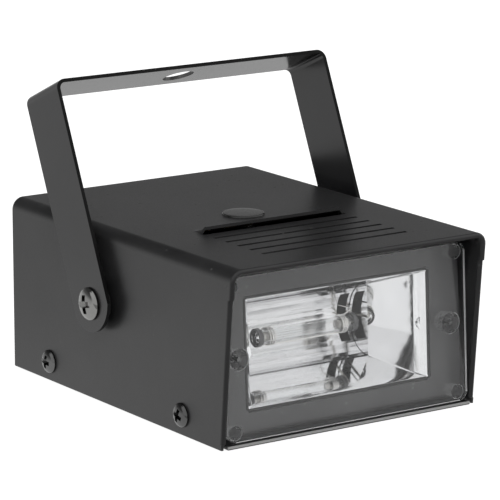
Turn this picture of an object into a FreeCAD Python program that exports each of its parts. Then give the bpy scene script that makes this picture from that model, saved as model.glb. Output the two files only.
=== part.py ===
import FreeCAD, Part
import math
import os

from FreeCAD import Rotation, Vector

# Xenon stroboscope in a painted sheet-steel box, carried by a tilting yoke.
# Millimetres. +Z is up, the lamp window faces -Y, +X is to the right of someone
# who looks into the window. The origin is the middle of the underside.

# ---------------------------------------------------------------- housing
body_width = 120.0
body_depth = 153.0            # of the base, front edge to rear edge
body_height = 70.5
hood_reach = 6.2              # the hood's front edge stands this far ahead of the base
cover_sheet = 1.2
cover_bend = 3.8              # inside radius of the two long bends
hem_length = 7.0              # sheet folded back inside along the front edges
hem_round = 0.8               # the folded edge's corners are taken off this far
hood_rim_drop = 11.5          # the hood's own hem comes this far down each side
hood_rim_step = 0.9           # and stands this far ahead of the side hems
hem_foot = 2.2                # the side hems start this far above the underside
shortest_front_edge = 35.0    # only the sheet's long front edges are rounded

base_sheet = 1.2
base_bend = 1.0               # inside radius
base_fit = 0.2                # between the base and the cover around it
side_flange = 17.0            # height of the base's side flanges
side_flange_front = 11.0      # they start this far behind the base's front edge
rear_flange = 9.0             # turned forward along the top of the rear panel
rear_inset = 1.5              # the rear panel stands inside the cover's rear edge
corner_relief = 4.0
flange_overlap = 12.0         # side flanges run this far under the bottom

# ---------------------------------------------------------------- top vents and plug
vent_lines = 6
vent_pitch = 8.1
vent_rear_line = -24.2        # place of the rearmost slit
vent_slit = 1.7
vent_half_length = 34.0
louvre_rise = 2.6             # the sheet's edge behind the rearmost slit, pressed up
louvre_depth = 7.0            # from there back to the flat sheet
louvre_end = 4.0              # sloping end at each side

plug_y = -2.3
plug_diameter = 17.0
plug_height = 0.8
plug_round = 0.5              # bevel of its edge
plug_hole = 14.0
plug_hole_fit = 0.1
plug_skirt = 3.0              # skirt below the sheet
plug_skirt_wall = 1.2

# ---------------------------------------------------------------- lamp front
panel_base_y = -68.2          # front face of the panel where it meets the base
panel_lean = 3.15             # degrees, leaning back going up
panel_sheet = 1.2
panel_top_gap = 2.3           # to the hood's hem
panel_height = body_height - base_sheet - 2 * cover_sheet - panel_top_gap
panel_side_gap = 1.6          # each side, to the outside of the cover
panel_foot = 12.0             # flange on the base
panel_foot_relief = 1.5       # foot to the base's side flanges
rivet_row_share = 0.6         # rivets along the foot, share of its length

window_side_gap = 0.6         # to the side hems
window_foot_gap = 0.3         # to the base
window_head_gap = 1.1         # below the panel's top edge
window_width = body_width - 4 * cover_sheet - 2 * window_side_gap
window_height = panel_height - window_foot_gap - window_head_gap
lamp_centre_h = window_foot_gap + window_height / 2   # lamp's axis, measured up the panel
window_thickness = 2.0
window_corner = 4.0
window_gap = 5.5              # between the window and the panel
post_diameter = 5.7
post_side_inset = 4.3         # posts' axes to the window's side edges
post_edge_inset = 3.6         # and to its upper and lower edges
boss_diameter = 8.5
boss_inset = 6.9              # bosses' axes to the window's side edges
boss_pilot = 2.6
boss_pilot_depth = 6.0
boss_root = 0.5               # posts and bosses start this far inside the plate

# ---------------------------------------------------------------- reflector
mouth_half_width = 42.5       # inside, at the panel's front face
mouth_half_height = 21.2
throat_half_width = 29.9      # inside, where the flared bezel ends
throat_half_height = 14.6
throat_depth = 22.0
bezel_wall = 1.2
bezel_flange = 3.6            # flange behind the panel
bezel_flange_thickness = 1.5
bezel_fit = 0.2               # collar to the panel's opening
bezel_corner = 1.4            # flats at the moulding's outside corners
bezel_inner_corner = 0.4      # and at its inside corners
bezel_flange_corner = 2.0
ear_radius = 5.0
throat_flange = 6.4
throat_flange_thickness = 1.4
trough_half_length = 35.1
trough_depth = 13.0
trough_sheet = 0.6
trough_facets = 10
trough_flange = 4.6
trough_flat = 2.0             # the lead slots start this far behind the throat
stake_diameter = 2.0
stake_head = 3.8
stake_head_height = 0.8
stake_x = 27.1
stake_share = 0.6             # stakes along the trough's flange, share of its width
stake_clearance = 0.2
lead_slot_x = 26.1            # slots for the tube's leads
lead_slot_width = 4.6
lead_slot_height = 19.0

# ---------------------------------------------------------------- flash tube
tube_diameter = 6.0
tube_wall = 0.8
tube_half_length = 23.6
tube_depth = 22.7             # behind the panel's front face
end_ring_diameter = 7.4       # rings pushed on the ends of the tube
end_ring_length = 2.0
end_ring_fit = 0.05
electrode_diameter = 3.4
electrode_length = 5.0
seal_length = 3.0
seal_fit = 0.05
lead_diameter = 1.0
lead_bend = 1.6
lead_inset = 1.0              # leads bend back this far outside the slots' middle
lead_tail = 1.0               # wire ends stand this far behind their board
trigger_wire_diameter = 0.6
trigger_gap = 0.1
trigger_inset = 4.5           # outermost turn to the end of the tube
trigger_turns = 3
trigger_pitch = 1.3
trigger_exit = 1.6            # the tail leaves this far inside the slot's middle
trigger_rise = 1.6            # and this far above the top of its turns
trigger_bend = 1.2

# ---------------------------------------------------------------- boards
lamp_board_depth = 46.5
lamp_board_half_width = 48.0
lamp_board_half_height = 17.0
lamp_board_corner = 1.0
lamp_wire_inset = 3.0         # joining wires to the boards' edges
lamp_wire_bend = 2.0
lamp_wire_x = (-12.0, 0.0, 12.0)
board_thickness = 1.6
lamp_post_diameter = 7.0
lamp_post_x = 43.0
lamp_pilot = 2.6
lamp_pilot_depth = 9.0
board_screw = 2.5             # shank of the board and window screws
board_screw_hole = 3.2
board_screw_head = 5.6
board_screw_head_height = 2.2
board_screw_length = 8.0
solder_hole_fit = 0.1         # radial, leads in their board holes

coil_diameter = 9.0
coil_length = 13.0
coil_flange = 11.0
coil_flange_thickness = 1.2
coil_core = 3.0
coil_core_end = 1.5           # the core stands this far out of the bobbin
coil_x = 14.0
coil_h = 4.0

main_board_half_width = 46.0
main_board_front = -12.0
main_board_rear = 58.0
standoff_height = 8.0
standoff_diameter = 6.0
standoff_stub = 4.2
standoff_stub_lift = 0.1      # its end above the base's underside
standoff_x = 40.0
standoff_inset = 6.0          # from the board's front and rear edges
standoff_pilot = 2.6
standoff_fit = 0.05

capacitor_diameter = 18.0
capacitor_height = 35.0
capacitor_y = 36.0
capacitor_x = (-25.0, -4.0)
capacitor_groove = 0.8        # depth of the crimp
capacitor_groove_height = 4.0
capacitor_round = 1.0
film_capacitor_size = (26.0, 9.0, 18.0)
film_capacitor_at = (24.0, 38.0)
film_capacitor_round = 1.0
resistor_size = (48.0, 9.5, 9.5)
resistor_at = (0.0, 4.0)
resistor_lift = 4.0
resistor_chamfer = 0.8
resistor_leg_inset = 3.0
leg_root = 1.0                # legs start this far inside their component
diode_diameter = 5.0
diode_length = 9.0
diode_rows = 4
diode_pitch = 8.0
diode_at = (35.0, 3.0)
diode_lift = 0.3
diode_leg_reach = 2.4         # legs turn down this far beyond the body
diode_leg_bend = 1.0
thyristor_at = (-34.0, 12.0)
thyristor_size = (10.0, 4.4, 9.0)
thyristor_lift = 4.0
thyristor_tab = 1.3
thyristor_tab_height = 6.0
thyristor_tab_hole = 3.8
thyristor_leg_pitch = 2.54
fuse_length = 20.0
fuse_diameter = 5.2
fuse_at = (14.0, 18.0)
fuse_height = 5.5
fuse_cap = 5.0
fuse_cap_step = 0.4           # the caps stand this far out of the glass
fuse_clearance = 0.1
clip_sheet = 0.5
clip_width = 3.0
clip_foot = 1.2
clip_mouth = 3.6
clip_mouth_rise = 1.0         # the open part starts this far above the fuse's axis
terminal_size = (12.0, 9.0, 11.0)
terminal_at = (-24.0, 51.0)
terminal_chamfer = 1.5
terminal_screw_hole = 4.0
terminal_screw_depth = 4.0
terminal_wire_hole = 3.2
terminal_wire_height = 3.5
leg_diameter = 0.8

# ---------------------------------------------------------------- speed control
pot_x = 28.0
pot_z = 38.0
pot_diameter = 16.0
pot_body_depth = 8.5
pot_bushing = 7.0
pot_bushing_length = 6.0
pot_bushing_fit = 0.1
pot_nut_flats = 10.0
pot_nut_thickness = 2.0
pot_back_wall = 1.0
pot_tag_width = 4.2
pot_tag_pitch = 5.4
pot_tag_sheet = 1.2
pot_tag_length = 5.0
pot_tag_setback = 2.8         # tags to the rear panel's inner face
control_lead = 1.2
control_lead_bend = 2.5
control_lead_gap = 0.1
control_lead_z = 17.0
control_lead_inset = 3.0      # from the main board's rear edge
shaft_diameter = 6.0
shaft_running_fit = 0.05
shaft_inside = 2.0            # end of the shaft inside the potentiometer
knob_diameter = 20.0
knob_height = 12.0
knob_skirt_diameter = 22.0
knob_skirt_height = 2.5
knob_lift = 3.4               # skirt above the rear panel
knob_bore_depth = 8.0
knob_top_wall = 2.0
knob_taper = 0.8
knob_recess_wall = 1.6        # room round the nut
knob_recess_room = 0.6        # room behind the bushing
knob_flutes = 12
knob_flute_depth = 0.07       # share of the knob's radius
knob_flat_share = 0.45        # width of the flat between two flutes, share of their pitch
knob_bore_fit = 0.03
knob_shaft_gap = 0.2          # end of the shaft to the end of the bore
knob_key_setback = 1.6        # the key starts this far behind the bore's mouth
knob_pointer_start = 1.0
knob_pointer_width = 1.4
knob_pointer_depth = 0.6
flat_depth = 1.2              # flat on the shaft
flat_setback = 1.0            # the flat starts this far outside the knob's bore

# ---------------------------------------------------------------- cord inlet
gland_x = -30.0
gland_z = 24.0
gland_hole = 12.2
gland_thread = 12.0
gland_hex = 15.0
gland_flange_length = 4.5
gland_dome_length = 7.0
gland_dome_step = 0.4         # the dome's foot inside the hexagon's flats
gland_dome_wall = 2.2
gland_inside = 9.0
gland_bore = 6.4
gland_nut_flats = 15.0
gland_nut_thickness = 3.5
gland_fit = 0.1

# ---------------------------------------------------------------- yoke and fasteners
yoke_width = 25.6
yoke_sheet = 1.5
yoke_reach = 88.0             # pivot to the outside of the crossbar
yoke_side_gap = 3.4           # between the arm and the cover
yoke_bend = 2.5
yoke_tilt = 24.0              # degrees back at rest
yoke_shoulder = 3.0           # the straight edges end this far below the pivot
yoke_end = 11.3               # and the rounded end this far
yoke_mount_hole = 13.0
pivot_y = 9.2
pivot_z = 40.4
pivot_screw = 6.0
pivot_running_fit = 0.08
pivot_face_play = 0.05
pivot_head = 13.2
pivot_head_height = 3.0
pivot_screw_length = 17.0
pivot_hole_fit = 0.25
spacer_diameter = 16.0
pivot_washer = 14.0
pivot_washer_thickness = 1.2
pivot_nut_flats = 10.0
pivot_nut_thickness = 6.0
thread_fit = 0.05

cover_screw = 4.0
cover_screw_hole_fit = 0.4
cover_screw_head = 9.6
cover_screw_head_height = 2.4
cover_screw_length = 9.5
cover_screw_y = 48.5
cover_screw_z = 7.8
rivet_diameter = 3.2
rivet_head = 6.0
rivet_head_height = 1.0
rivet_x = 40.0
rivet_fit = 0.05
rivet_crown = 3.0
rivet_lift = 0.2              # shank's end above the underside

pan_crown = 0.3               # radius of a pan head's flat top, share of its diameter
pan_rim = 0.35                # height of its straight rim, share of the head's height
screw_point = 0.6             # width of the screw's end, share of its shank

# ---------------------------------------------------------------- derived places
half_width = body_width / 2
post_x = window_width / 2 - post_side_inset
post_h = window_height / 2 - post_edge_inset
boss_x = window_width / 2 - boss_inset
front_y = -body_depth / 2
rear_y = body_depth / 2
rear_panel_y = rear_y - rear_inset
base_half_width = half_width - cover_sheet - base_fit
hem_inside = half_width - 2 * cover_sheet
hood_rim_bottom = body_height - hood_rim_drop
board_top = base_sheet + standoff_height + board_thickness
tube_inner_radius = tube_diameter / 2 - tube_wall
yoke_outside = half_width + yoke_side_gap + yoke_sheet
knob_front = rear_panel_y + knob_lift
lead_x = lead_slot_x + lead_inset
trigger_ring_radius = tube_diameter / 2 + trigger_gap + trigger_wire_diameter / 2
trigger_ring_x = tube_half_length - trigger_inset
AWAY = 400.0                  # longer than anything in the part
SIDES = (1, -1)
turned_facets = 12            # sides of small turned pieces and the holes around them
wire_facets = 6               # sides of wires, legs, pins and their holes


# ================================================================ helpers
def box(x0, x1, y0, y1, z0, z1):
    return Part.makeBox(x1 - x0, y1 - y0, z1 - z0, Vector(x0, y0, z0))


def rod(radius, start, direction, length):
    return Part.makeCylinder(radius, length, start, direction)


def both_sides(shape):
    """The shape and its mirror image across the middle plane."""
    return [shape, shape.mirror(Vector(0, 0, 0), Vector(1, 0, 0))]


def fuse(shapes):
    joined = shapes[0]
    for shape in shapes[1:]:
        joined = joined.fuse(shape)
    return joined.removeSplitter()


def prism(corners, along):
    """Flat outline carried straight along."""
    return Part.Face(Part.makePolygon(corners + [corners[0]])).extrude(along)


def cut(shape, tools):
    for tool in tools:
        shape = shape.cut(tool)
    return shape


def lean_back(shape):
    """From the lamp's own frame, with the panel's front face at y = 0, to its place."""
    placed = shape.copy()
    placed.rotate(Vector(0, 0, 0), Vector(1, 0, 0), -panel_lean)
    placed.translate(Vector(0, panel_base_y, base_sheet))
    return placed


def stand(shape, at, direction):
    """Turn a shape that stands on +Z to another direction and move it."""
    placed = shape.copy()
    turn = Rotation(Vector(0, 0, 1), direction)
    placed.rotate(Vector(0, 0, 0), turn.Axis, math.degrees(turn.Angle))
    placed.translate(at)
    return placed


def sheet_section(path, thickness, inside_radius, across, up):
    """Section of a bent sheet. The path runs along one face, the sheet lies to its left."""
    points = [Vector(u, v, 0) for u, v in path]
    runs = [(b - a).normalize() for a, b in zip(points, points[1:])]
    lefts = [Vector(-d.y, d.x, 0) for d in runs]
    sides = []
    for shift in (0.0, thickness):
        edges = []
        here = points[0] + lefts[0] * shift
        for i in range(1, len(points) - 1):
            turn = runs[i - 1].cross(runs[i]).z
            half_angle = runs[i - 1].getAngle(runs[i]) / 2
            path_radius = inside_radius + (thickness if turn > 0 else 0.0)
            side = 1 if turn > 0 else -1
            tangent = path_radius * math.tan(half_angle)
            first = points[i] - runs[i - 1] * tangent
            last = points[i] + runs[i] * tangent
            centre = first + lefts[i - 1] * (side * path_radius)
            radius = path_radius - side * shift
            start = first + lefts[i - 1] * shift
            end = last + lefts[i] * shift
            middle = centre + (points[i] - centre).normalize() * radius
            edges.append(("line", here, start))
            edges.append(("arc", start, middle, end))
            here = end
        finish = points[-1] + lefts[-1] * shift
        edges.append(("line", here, finish))
        sides.append((edges, points[0] + lefts[0] * shift, finish))

    def place(p):
        return across * p.x + up * p.y

    def make(edge):
        if edge[0] == "line":
            return Part.makeLine(place(edge[1]), place(edge[2]))
        return Part.Arc(place(edge[1]), place(edge[2]), place(edge[3])).toShape()

    near, far = sides
    outline = [make(e) for e in near[0]] + [make(e) for e in far[0]]
    outline.append(Part.makeLine(place(near[1]), place(far[1])))
    outline.append(Part.makeLine(place(near[2]), place(far[2])))
    return Part.Face(Part.Wire(Part.__sortEdges__(outline)))


def sheet_along_y(path, thickness, inside_radius, y0, y1):
    face = sheet_section(path, thickness, inside_radius, Vector(1, 0, 0), Vector(0, 0, 1))
    face.translate(Vector(0, y0, 0))
    return face.extrude(Vector(0, y1 - y0, 0))


def sheet_along_x(path, thickness, inside_radius, x0, x1):
    face = sheet_section(path, thickness, inside_radius, Vector(0, 1, 0), Vector(0, 0, 1))
    face.translate(Vector(x0, 0, 0))
    return face.extrude(Vector(x1 - x0, 0, 0))


def folded_along_x(path, thickness, x0, x1):
    """Thin sheet with sharp folds. The path runs along one face, the sheet lies to its left."""
    points = [Vector(0, y, z) for y, z in path]
    runs = [(b - a).normalize() for a, b in zip(points, points[1:])]
    lefts = [Vector(0, -d.z, d.y) for d in runs]
    far = []
    for i, point in enumerate(points):
        before = lefts[max(i - 1, 0)]
        after = lefts[min(i, len(lefts) - 1)]
        mitre = (before + after).normalize()
        far.append(point + mitre * (thickness / mitre.dot(after)))
    outline = points + far[::-1]
    outline = Part.Face(Part.makePolygon(outline + [outline[0]]))
    outline.translate(Vector(x0, 0, 0))
    return outline.extrude(Vector(x1 - x0, 0, 0))


def rounded_rectangle(half_across, half_up, radius, y, centre_h):
    """Closed wire in an XZ plane of the lamp's frame."""
    corners = []
    for sx, sz, start in ((1, 1, 0), (-1, 1, 90), (-1, -1, 180), (1, -1, 270)):
        middle = Vector(sx * (half_across - radius), y, centre_h + sz * (half_up - radius))
        ends = []
        for angle in (start, start + 45, start + 90):
            a = math.radians(angle)
            ends.append(middle + Vector(math.cos(a), 0, math.sin(a)) * radius)
        corners.append(ends)
    edges = []
    for i, ends in enumerate(corners):
        edges.append(Part.Arc(*ends).toShape())
        edges.append(Part.makeLine(ends[2], corners[(i + 1) % 4][0]))
    return Part.Wire(edges)


def cut_rectangle(half_across, half_up, corner, y, centre_h):
    """Corners of the same with small flats instead of rounds."""
    points = []
    for sx, sz in ((1, 1), (-1, 1), (-1, -1), (1, -1)):
        upright = Vector(sx * half_across, y, centre_h + sz * (half_up - corner))
        level = Vector(sx * (half_across - corner), y, centre_h + sz * half_up)
        points += [upright, level] if sx * sz > 0 else [level, upright]
    return points


def cut_plate(half_across, half_up, corner, y0, y1, centre_h):
    return skin([cut_rectangle(half_across, half_up, corner, y, centre_h) for y in (y0, y1)])


def plate(outline, y0, y1):
    """Flat plate of the lamp's frame from an outline at y = 0."""
    face = Part.Face(outline)
    face.translate(Vector(0, y0, 0))
    return face.extrude(Vector(0, y1 - y0, 0))


def flare(front, back, corner, y0, y1, centre_h):
    """Straight-sided funnel between two rectangles."""
    return skin([cut_rectangle(front[0], front[1], corner, y0, centre_h),
                 cut_rectangle(back[0], back[1], corner, y1, centre_h)])


def skin(rings):
    """Solid with flat faces between closed rings of points, and flat ends."""
    faces = [Part.Face(Part.makePolygon(ring + [ring[0]])) for ring in (rings[0], rings[-1])]
    for low, high in zip(rings, rings[1:]):
        for i in range(len(low)):
            corners = [low[i - 1], low[i], high[i], high[i - 1]]
            faces.append(Part.Face(Part.makePolygon(corners + [corners[0]])))
    solid = Part.makeSolid(Part.makeShell(faces))
    if solid.Volume < 0:
        solid.reverse()
    return solid.removeSplitter()


def polygon(sides, radius, z):
    """Corners of a regular polygon that lie on the radius."""
    angles = [2 * math.pi * (i + 0.5) / sides for i in range(sides)]
    return [Vector(radius * math.cos(a), radius * math.sin(a), z) for a in angles]


def bar(sides, radius, start, direction, length):
    """Many-sided bar for a small round piece, its corners on the radius."""
    ends = [polygon(sides, radius, 0), polygon(sides, radius, length)]
    return stand(skin(ends), start, direction)


def drill(sides, radius, start, direction, length):
    """Many-sided hole for a small round piece, its flats on the radius."""
    return bar(sides, radius / math.cos(math.pi / sides), start, direction, length)


def turned(sides, profile):
    """Small turned piece on +Z from its profile, points of (height, radius)."""
    return skin([polygon(sides, radius, z) for z, radius in profile])


def hexagon(flats, thickness):
    return bar(6, flats / 2 / math.cos(math.pi / 6), Vector(0, 0, 0), Vector(0, 0, 1), thickness)


def nut(flats, thickness, bore_radius):
    up = Vector(0, 0, 1)
    bore = drill(turned_facets, bore_radius, Vector(0, 0, 0), up, thickness)
    return hexagon(flats, thickness).cut(bore)


def pan_screw(sides, head, head_height, shank, length):
    """Pan head on top of z = 0, shank below it."""
    tip = shank / 2
    return turned(sides, [
        (-length, tip * screw_point), (tip - length, tip), (0, tip), (0, head / 2),
        (head_height * pan_rim, head / 2), (head_height, head * pan_crown),
    ])


def bent_wire(points, diameter, bend):
    """Wire along a polyline whose corners are all turned at one radius, each in two flats."""
    path = [points[0]]
    for before, corner, after in zip(points, points[1:], points[2:]):
        arriving = (corner - before).normalize()
        leaving = (after - corner).normalize()
        half_angle = arriving.getAngle(leaving) / 2
        tangent = bend * math.tan(half_angle)
        inward = (leaving - arriving).normalize()
        middle = corner + inward * (bend / math.cos(half_angle) - bend)
        path += [corner - arriving * tangent, middle, corner + leaving * tangent]
    path.append(points[-1])
    runs = [(b - a).normalize() for a, b in zip(path, path[1:])]
    turn = Rotation(Vector(0, 0, 1), runs[0])
    corners = [path[0] + turn.multVec(c) for c in polygon(wire_facets, diameter / 2, 0)]
    rings = [corners]
    for i, place in enumerate(path[1:]):
        plane = (runs[i] + runs[min(i + 1, len(runs) - 1)]).normalize()
        ahead = runs[i]
        corners = [c + ahead * ((place - c).dot(plane) / ahead.dot(plane)) for c in corners]
        rings.append(corners)
    return skin(rings)


def front_slab(back_from, back_to):
    """Everything between two planes parallel to the housing's leaning front edges."""
    points = []
    low = -body_height
    high = 2 * body_height
    for z, shift in ((low, back_from), (high, back_from), (high, back_to), (low, back_to)):
        y = front_y - hood_reach * z / body_height
        points.append(Vector(-AWAY, y + shift, z))
    return prism(points, Vector(2 * AWAY, 0, 0))


# ================================================================ housing
def top_cover():
    """One sheet bent down both sides, hemmed along the front, with slits and a louvre on top."""
    inset = cover_sheet
    right = half_width
    top = body_height
    fold = [(right, 0), (right, top), (-right, top), (-right, 0)]
    shell = sheet_along_y(fold, cover_sheet, cover_bend, -AWAY, rear_y)
    rim = [(right - inset, hood_rim_bottom), (right - inset, top - inset),
           (-right + inset, top - inset), (-right + inset, hood_rim_bottom)]
    hood_hem = sheet_along_y(rim, cover_sheet, cover_bend - cover_sheet, -AWAY, rear_y)
    hood_hem = hood_hem.common(front_slab(0, hem_length))
    side_hem = box(hem_inside, right - inset, -AWAY, 0, hem_foot, hood_rim_bottom)
    side_hem = side_hem.common(front_slab(0, hem_length))
    cover = fuse([shell, hood_hem] + both_sides(side_hem))
    cover = cover.cut(front_slab(-AWAY, 0))
    step = box(-AWAY, AWAY, -AWAY, 0, 0, hood_rim_bottom)
    cover = cover.cut(step.common(front_slab(-AWAY, hood_rim_step)))

    cover = cover.removeSplitter()
    for setback in (hood_rim_step, 0):
        cover = cover.makeChamfer(hem_round, front_edges(cover, setback))

    slits = []
    for i in range(vent_lines):
        back = vent_rear_line - vent_pitch * i + vent_slit / 2
        slits.append(box(-vent_half_length, vent_half_length, back - vent_slit, back,
                         top - cover_sheet, top))
    outside = louvre(vent_rear_line + vent_slit / 2)
    inside = outside.translated(Vector(0, 0, -cover_sheet))
    cover = cut(fuse([cover, outside]), slits + [inside])

    holes = [drill(turned_facets, plug_hole / 2, Vector(0, plug_y, 0), Vector(0, 0, 1), AWAY)]
    hole_radius = cover_screw / 2 + cover_screw_hole_fit
    for y in (-cover_screw_y, cover_screw_y):
        holes.append(cross_hole(hole_radius, y, cover_screw_z))
    holes.append(cross_hole(pivot_screw / 2 + pivot_hole_fit, pivot_y, pivot_z))
    return cut(cover, holes)


def louvre(front):
    """Wedge on the flat top: highest along its front edge, sloping off back and sideways."""
    base = body_height
    crest = body_height + louvre_rise
    crest_end = vent_half_length - louvre_end
    left = Vector(-vent_half_length, front, base)
    over_ends = prism([left, Vector(-crest_end, front, crest), Vector(crest_end, front, crest),
                       Vector(vent_half_length, front, base)], Vector(0, louvre_depth, 0))
    over_back = prism([left, Vector(left.x, front, crest), left + Vector(0, louvre_depth, 0)],
                      Vector(2 * vent_half_length, 0, 0))
    return over_ends.common(over_back)


def cross_hole(radius, y, z):
    """Drill straight across the housing, through both sides."""
    return drill(turned_facets, radius, Vector(-AWAY, y, z), Vector(1, 0, 0), 2 * AWAY)


def front_edges(cover, setback):
    """The long edges of the cover that lie this far behind its foremost plane."""
    found = []
    for edge in cover.Edges:
        if edge.Length < shortest_front_edge:
            continue
        ends = [v.Point for v in edge.Vertexes]
        behind = [p.y - front_y + hood_reach * p.z / body_height for p in ends]
        if all(abs(b - setback) < 0.01 for b in behind):
            found.append(edge)
    return found


def hole_plug():
    """Plastic plug with a bevelled edge, snapped into the round hole in the top."""
    rim = plug_diameter / 2
    outside = plug_hole / 2 - plug_hole_fit
    depth = cover_sheet + plug_skirt
    head = turned(turned_facets, [(-depth, outside), (0, outside), (0, rim),
                         (plug_height - plug_round, rim), (plug_height, rim - plug_round)])
    up = Vector(0, 0, 1)
    hollow = bar(turned_facets, outside - plug_skirt_wall, Vector(0, 0, -depth), up, depth)
    return stand(head.cut(hollow), Vector(0, plug_y, body_height), up)


def base_chassis():
    """Bottom, rear panel and side flanges, bent from one sheet."""
    rim_z = body_height - cover_sheet - base_fit
    spine = [(front_y + base_fit, 0), (rear_panel_y, 0), (rear_panel_y, rim_z),
             (rear_panel_y - rear_flange, rim_z)]
    body = sheet_along_x(spine, base_sheet, base_bend, -base_half_width, base_half_width)
    corner = cover_bend - base_fit
    blank = Part.makeBox(2 * base_half_width, 2 * AWAY, AWAY + rim_z,
                         Vector(-base_half_width, -AWAY, -AWAY))
    long_edges = [e for e in blank.Edges
                  if abs(e.CenterOfMass.z - rim_z) < 0.01 and abs(e.CenterOfMass.y) < 0.01]
    body = body.common(blank.makeFillet(corner, long_edges))
    nose = box(hem_inside - base_fit, AWAY, -AWAY, front_y + hem_length + corner_relief, 0, AWAY)
    body = cut(body, both_sides(nose))

    inboard = base_half_width - flange_overlap
    wall = [(inboard, 0), (base_half_width, 0), (base_half_width, side_flange)]
    flange = sheet_along_y(wall, base_sheet, base_bend,
                           front_y + side_flange_front, rear_panel_y - corner_relief)
    edge_round = box(base_half_width - base_sheet - base_bend, AWAY,
                     front_y + side_flange_front, rear_panel_y - corner_relief, 0, AWAY)
    body = cut(body, both_sides(edge_round))
    body = fuse([body] + both_sides(flange))

    holes = []
    for y in (-cover_screw_y, cover_screw_y):
        holes.append(cross_hole(cover_screw / 2 + thread_fit, y, cover_screw_z))
    up = Vector(0, 0, 1)
    for x, y in standoff_places():
        holes.append(bar(6, standoff_stub / 2 + standoff_fit, Vector(x, y, 0), up, base_sheet))
    for x, y in rivet_places():
        holes.append(drill(wire_facets, rivet_diameter / 2 + rivet_fit, Vector(x, y, 0), up,
                           base_sheet))
    toward_rear = Vector(0, 1, 0)
    pot_at = Vector(pot_x, rear_panel_y - rear_flange, pot_z)
    gland_at = Vector(gland_x, rear_panel_y - rear_flange, gland_z)
    holes.append(drill(turned_facets, pot_bushing / 2 + pot_bushing_fit, pot_at, toward_rear,
                       2 * rear_flange))
    holes.append(drill(turned_facets, gland_hole / 2, gland_at, toward_rear, 2 * rear_flange))
    return cut(body, holes)


def standoff_places():
    places = []
    for x in (-standoff_x, standoff_x):
        for y in (main_board_front + standoff_inset, main_board_rear - standoff_inset):
            places.append((x, y))
    return places


def rivet_places():
    y = panel_base_y + panel_foot * rivet_row_share
    return [(x, y) for x in (-rivet_x, 0.0, rivet_x)]


def front_panel():
    """Black panel behind the window, on a foot that is riveted to the base."""
    rise = math.radians(90 - panel_lean)
    top = (panel_base_y + panel_height * math.cos(rise),
           base_sheet + panel_height * math.sin(rise))
    path = [top, (panel_base_y, base_sheet), (panel_base_y + panel_foot, base_sheet)]
    side = half_width - panel_side_gap
    panel = sheet_along_x(path, panel_sheet, base_bend, -side, side)
    reach = bezel_wall + bezel_fit
    opening = cut_plate(mouth_half_width + reach, mouth_half_height + reach,
                        bezel_corner, 0, panel_sheet, lamp_centre_h)
    holes = [lean_back(opening)]
    for x in (-boss_x, boss_x):
        at = Vector(x, 0, lamp_centre_h)
        hole = drill(wire_facets, board_screw_hole / 2, at, Vector(0, 1, 0), panel_sheet)
        holes.append(lean_back(hole))
    for x, y in rivet_places():
        at = Vector(x, y, base_sheet)
        holes.append(drill(wire_facets, rivet_diameter / 2 + rivet_fit, at, Vector(0, 0, 1),
                           panel_sheet))
    foot_top = base_sheet + panel_sheet
    foot_relief = box(base_half_width - base_sheet - panel_foot_relief, AWAY,
                      panel_base_y + panel_sheet + base_bend, AWAY, 0, foot_top)
    return cut(panel, holes + both_sides(foot_relief))


def clear_window():
    """Clear moulded cover with a locating post in each corner and two screw bosses."""
    front = -window_gap - window_thickness
    outline = rounded_rectangle(window_width / 2, window_height / 2, window_corner, 0,
                                lamp_centre_h)
    toward_rear = Vector(0, 1, 0)
    solids = [plate(outline, front, -window_gap)]
    for x in (-post_x, post_x):
        for h in (-post_h, post_h):
            at = Vector(x, -window_gap - boss_root, lamp_centre_h + h)
            solids.append(bar(turned_facets, post_diameter / 2, at, toward_rear,
                              window_gap + boss_root))
    pilots = []
    for x in (-boss_x, boss_x):
        at = Vector(x, -window_gap - boss_root, lamp_centre_h)
        solids.append(bar(turned_facets, boss_diameter / 2, at, toward_rear,
                          window_gap + boss_root))
        mouth = Vector(x, 0, lamp_centre_h)
        pilots.append(drill(wire_facets, boss_pilot / 2, mouth, Vector(0, -1, 0), boss_pilot_depth))
    return lean_back(cut(fuse(solids), pilots))


# ================================================================ reflector
def stake_places():
    h = throat_half_height + trough_flange * stake_share
    return [(x, lamp_centre_h + s * h) for x in (-stake_x, stake_x) for s in SIDES]


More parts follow.
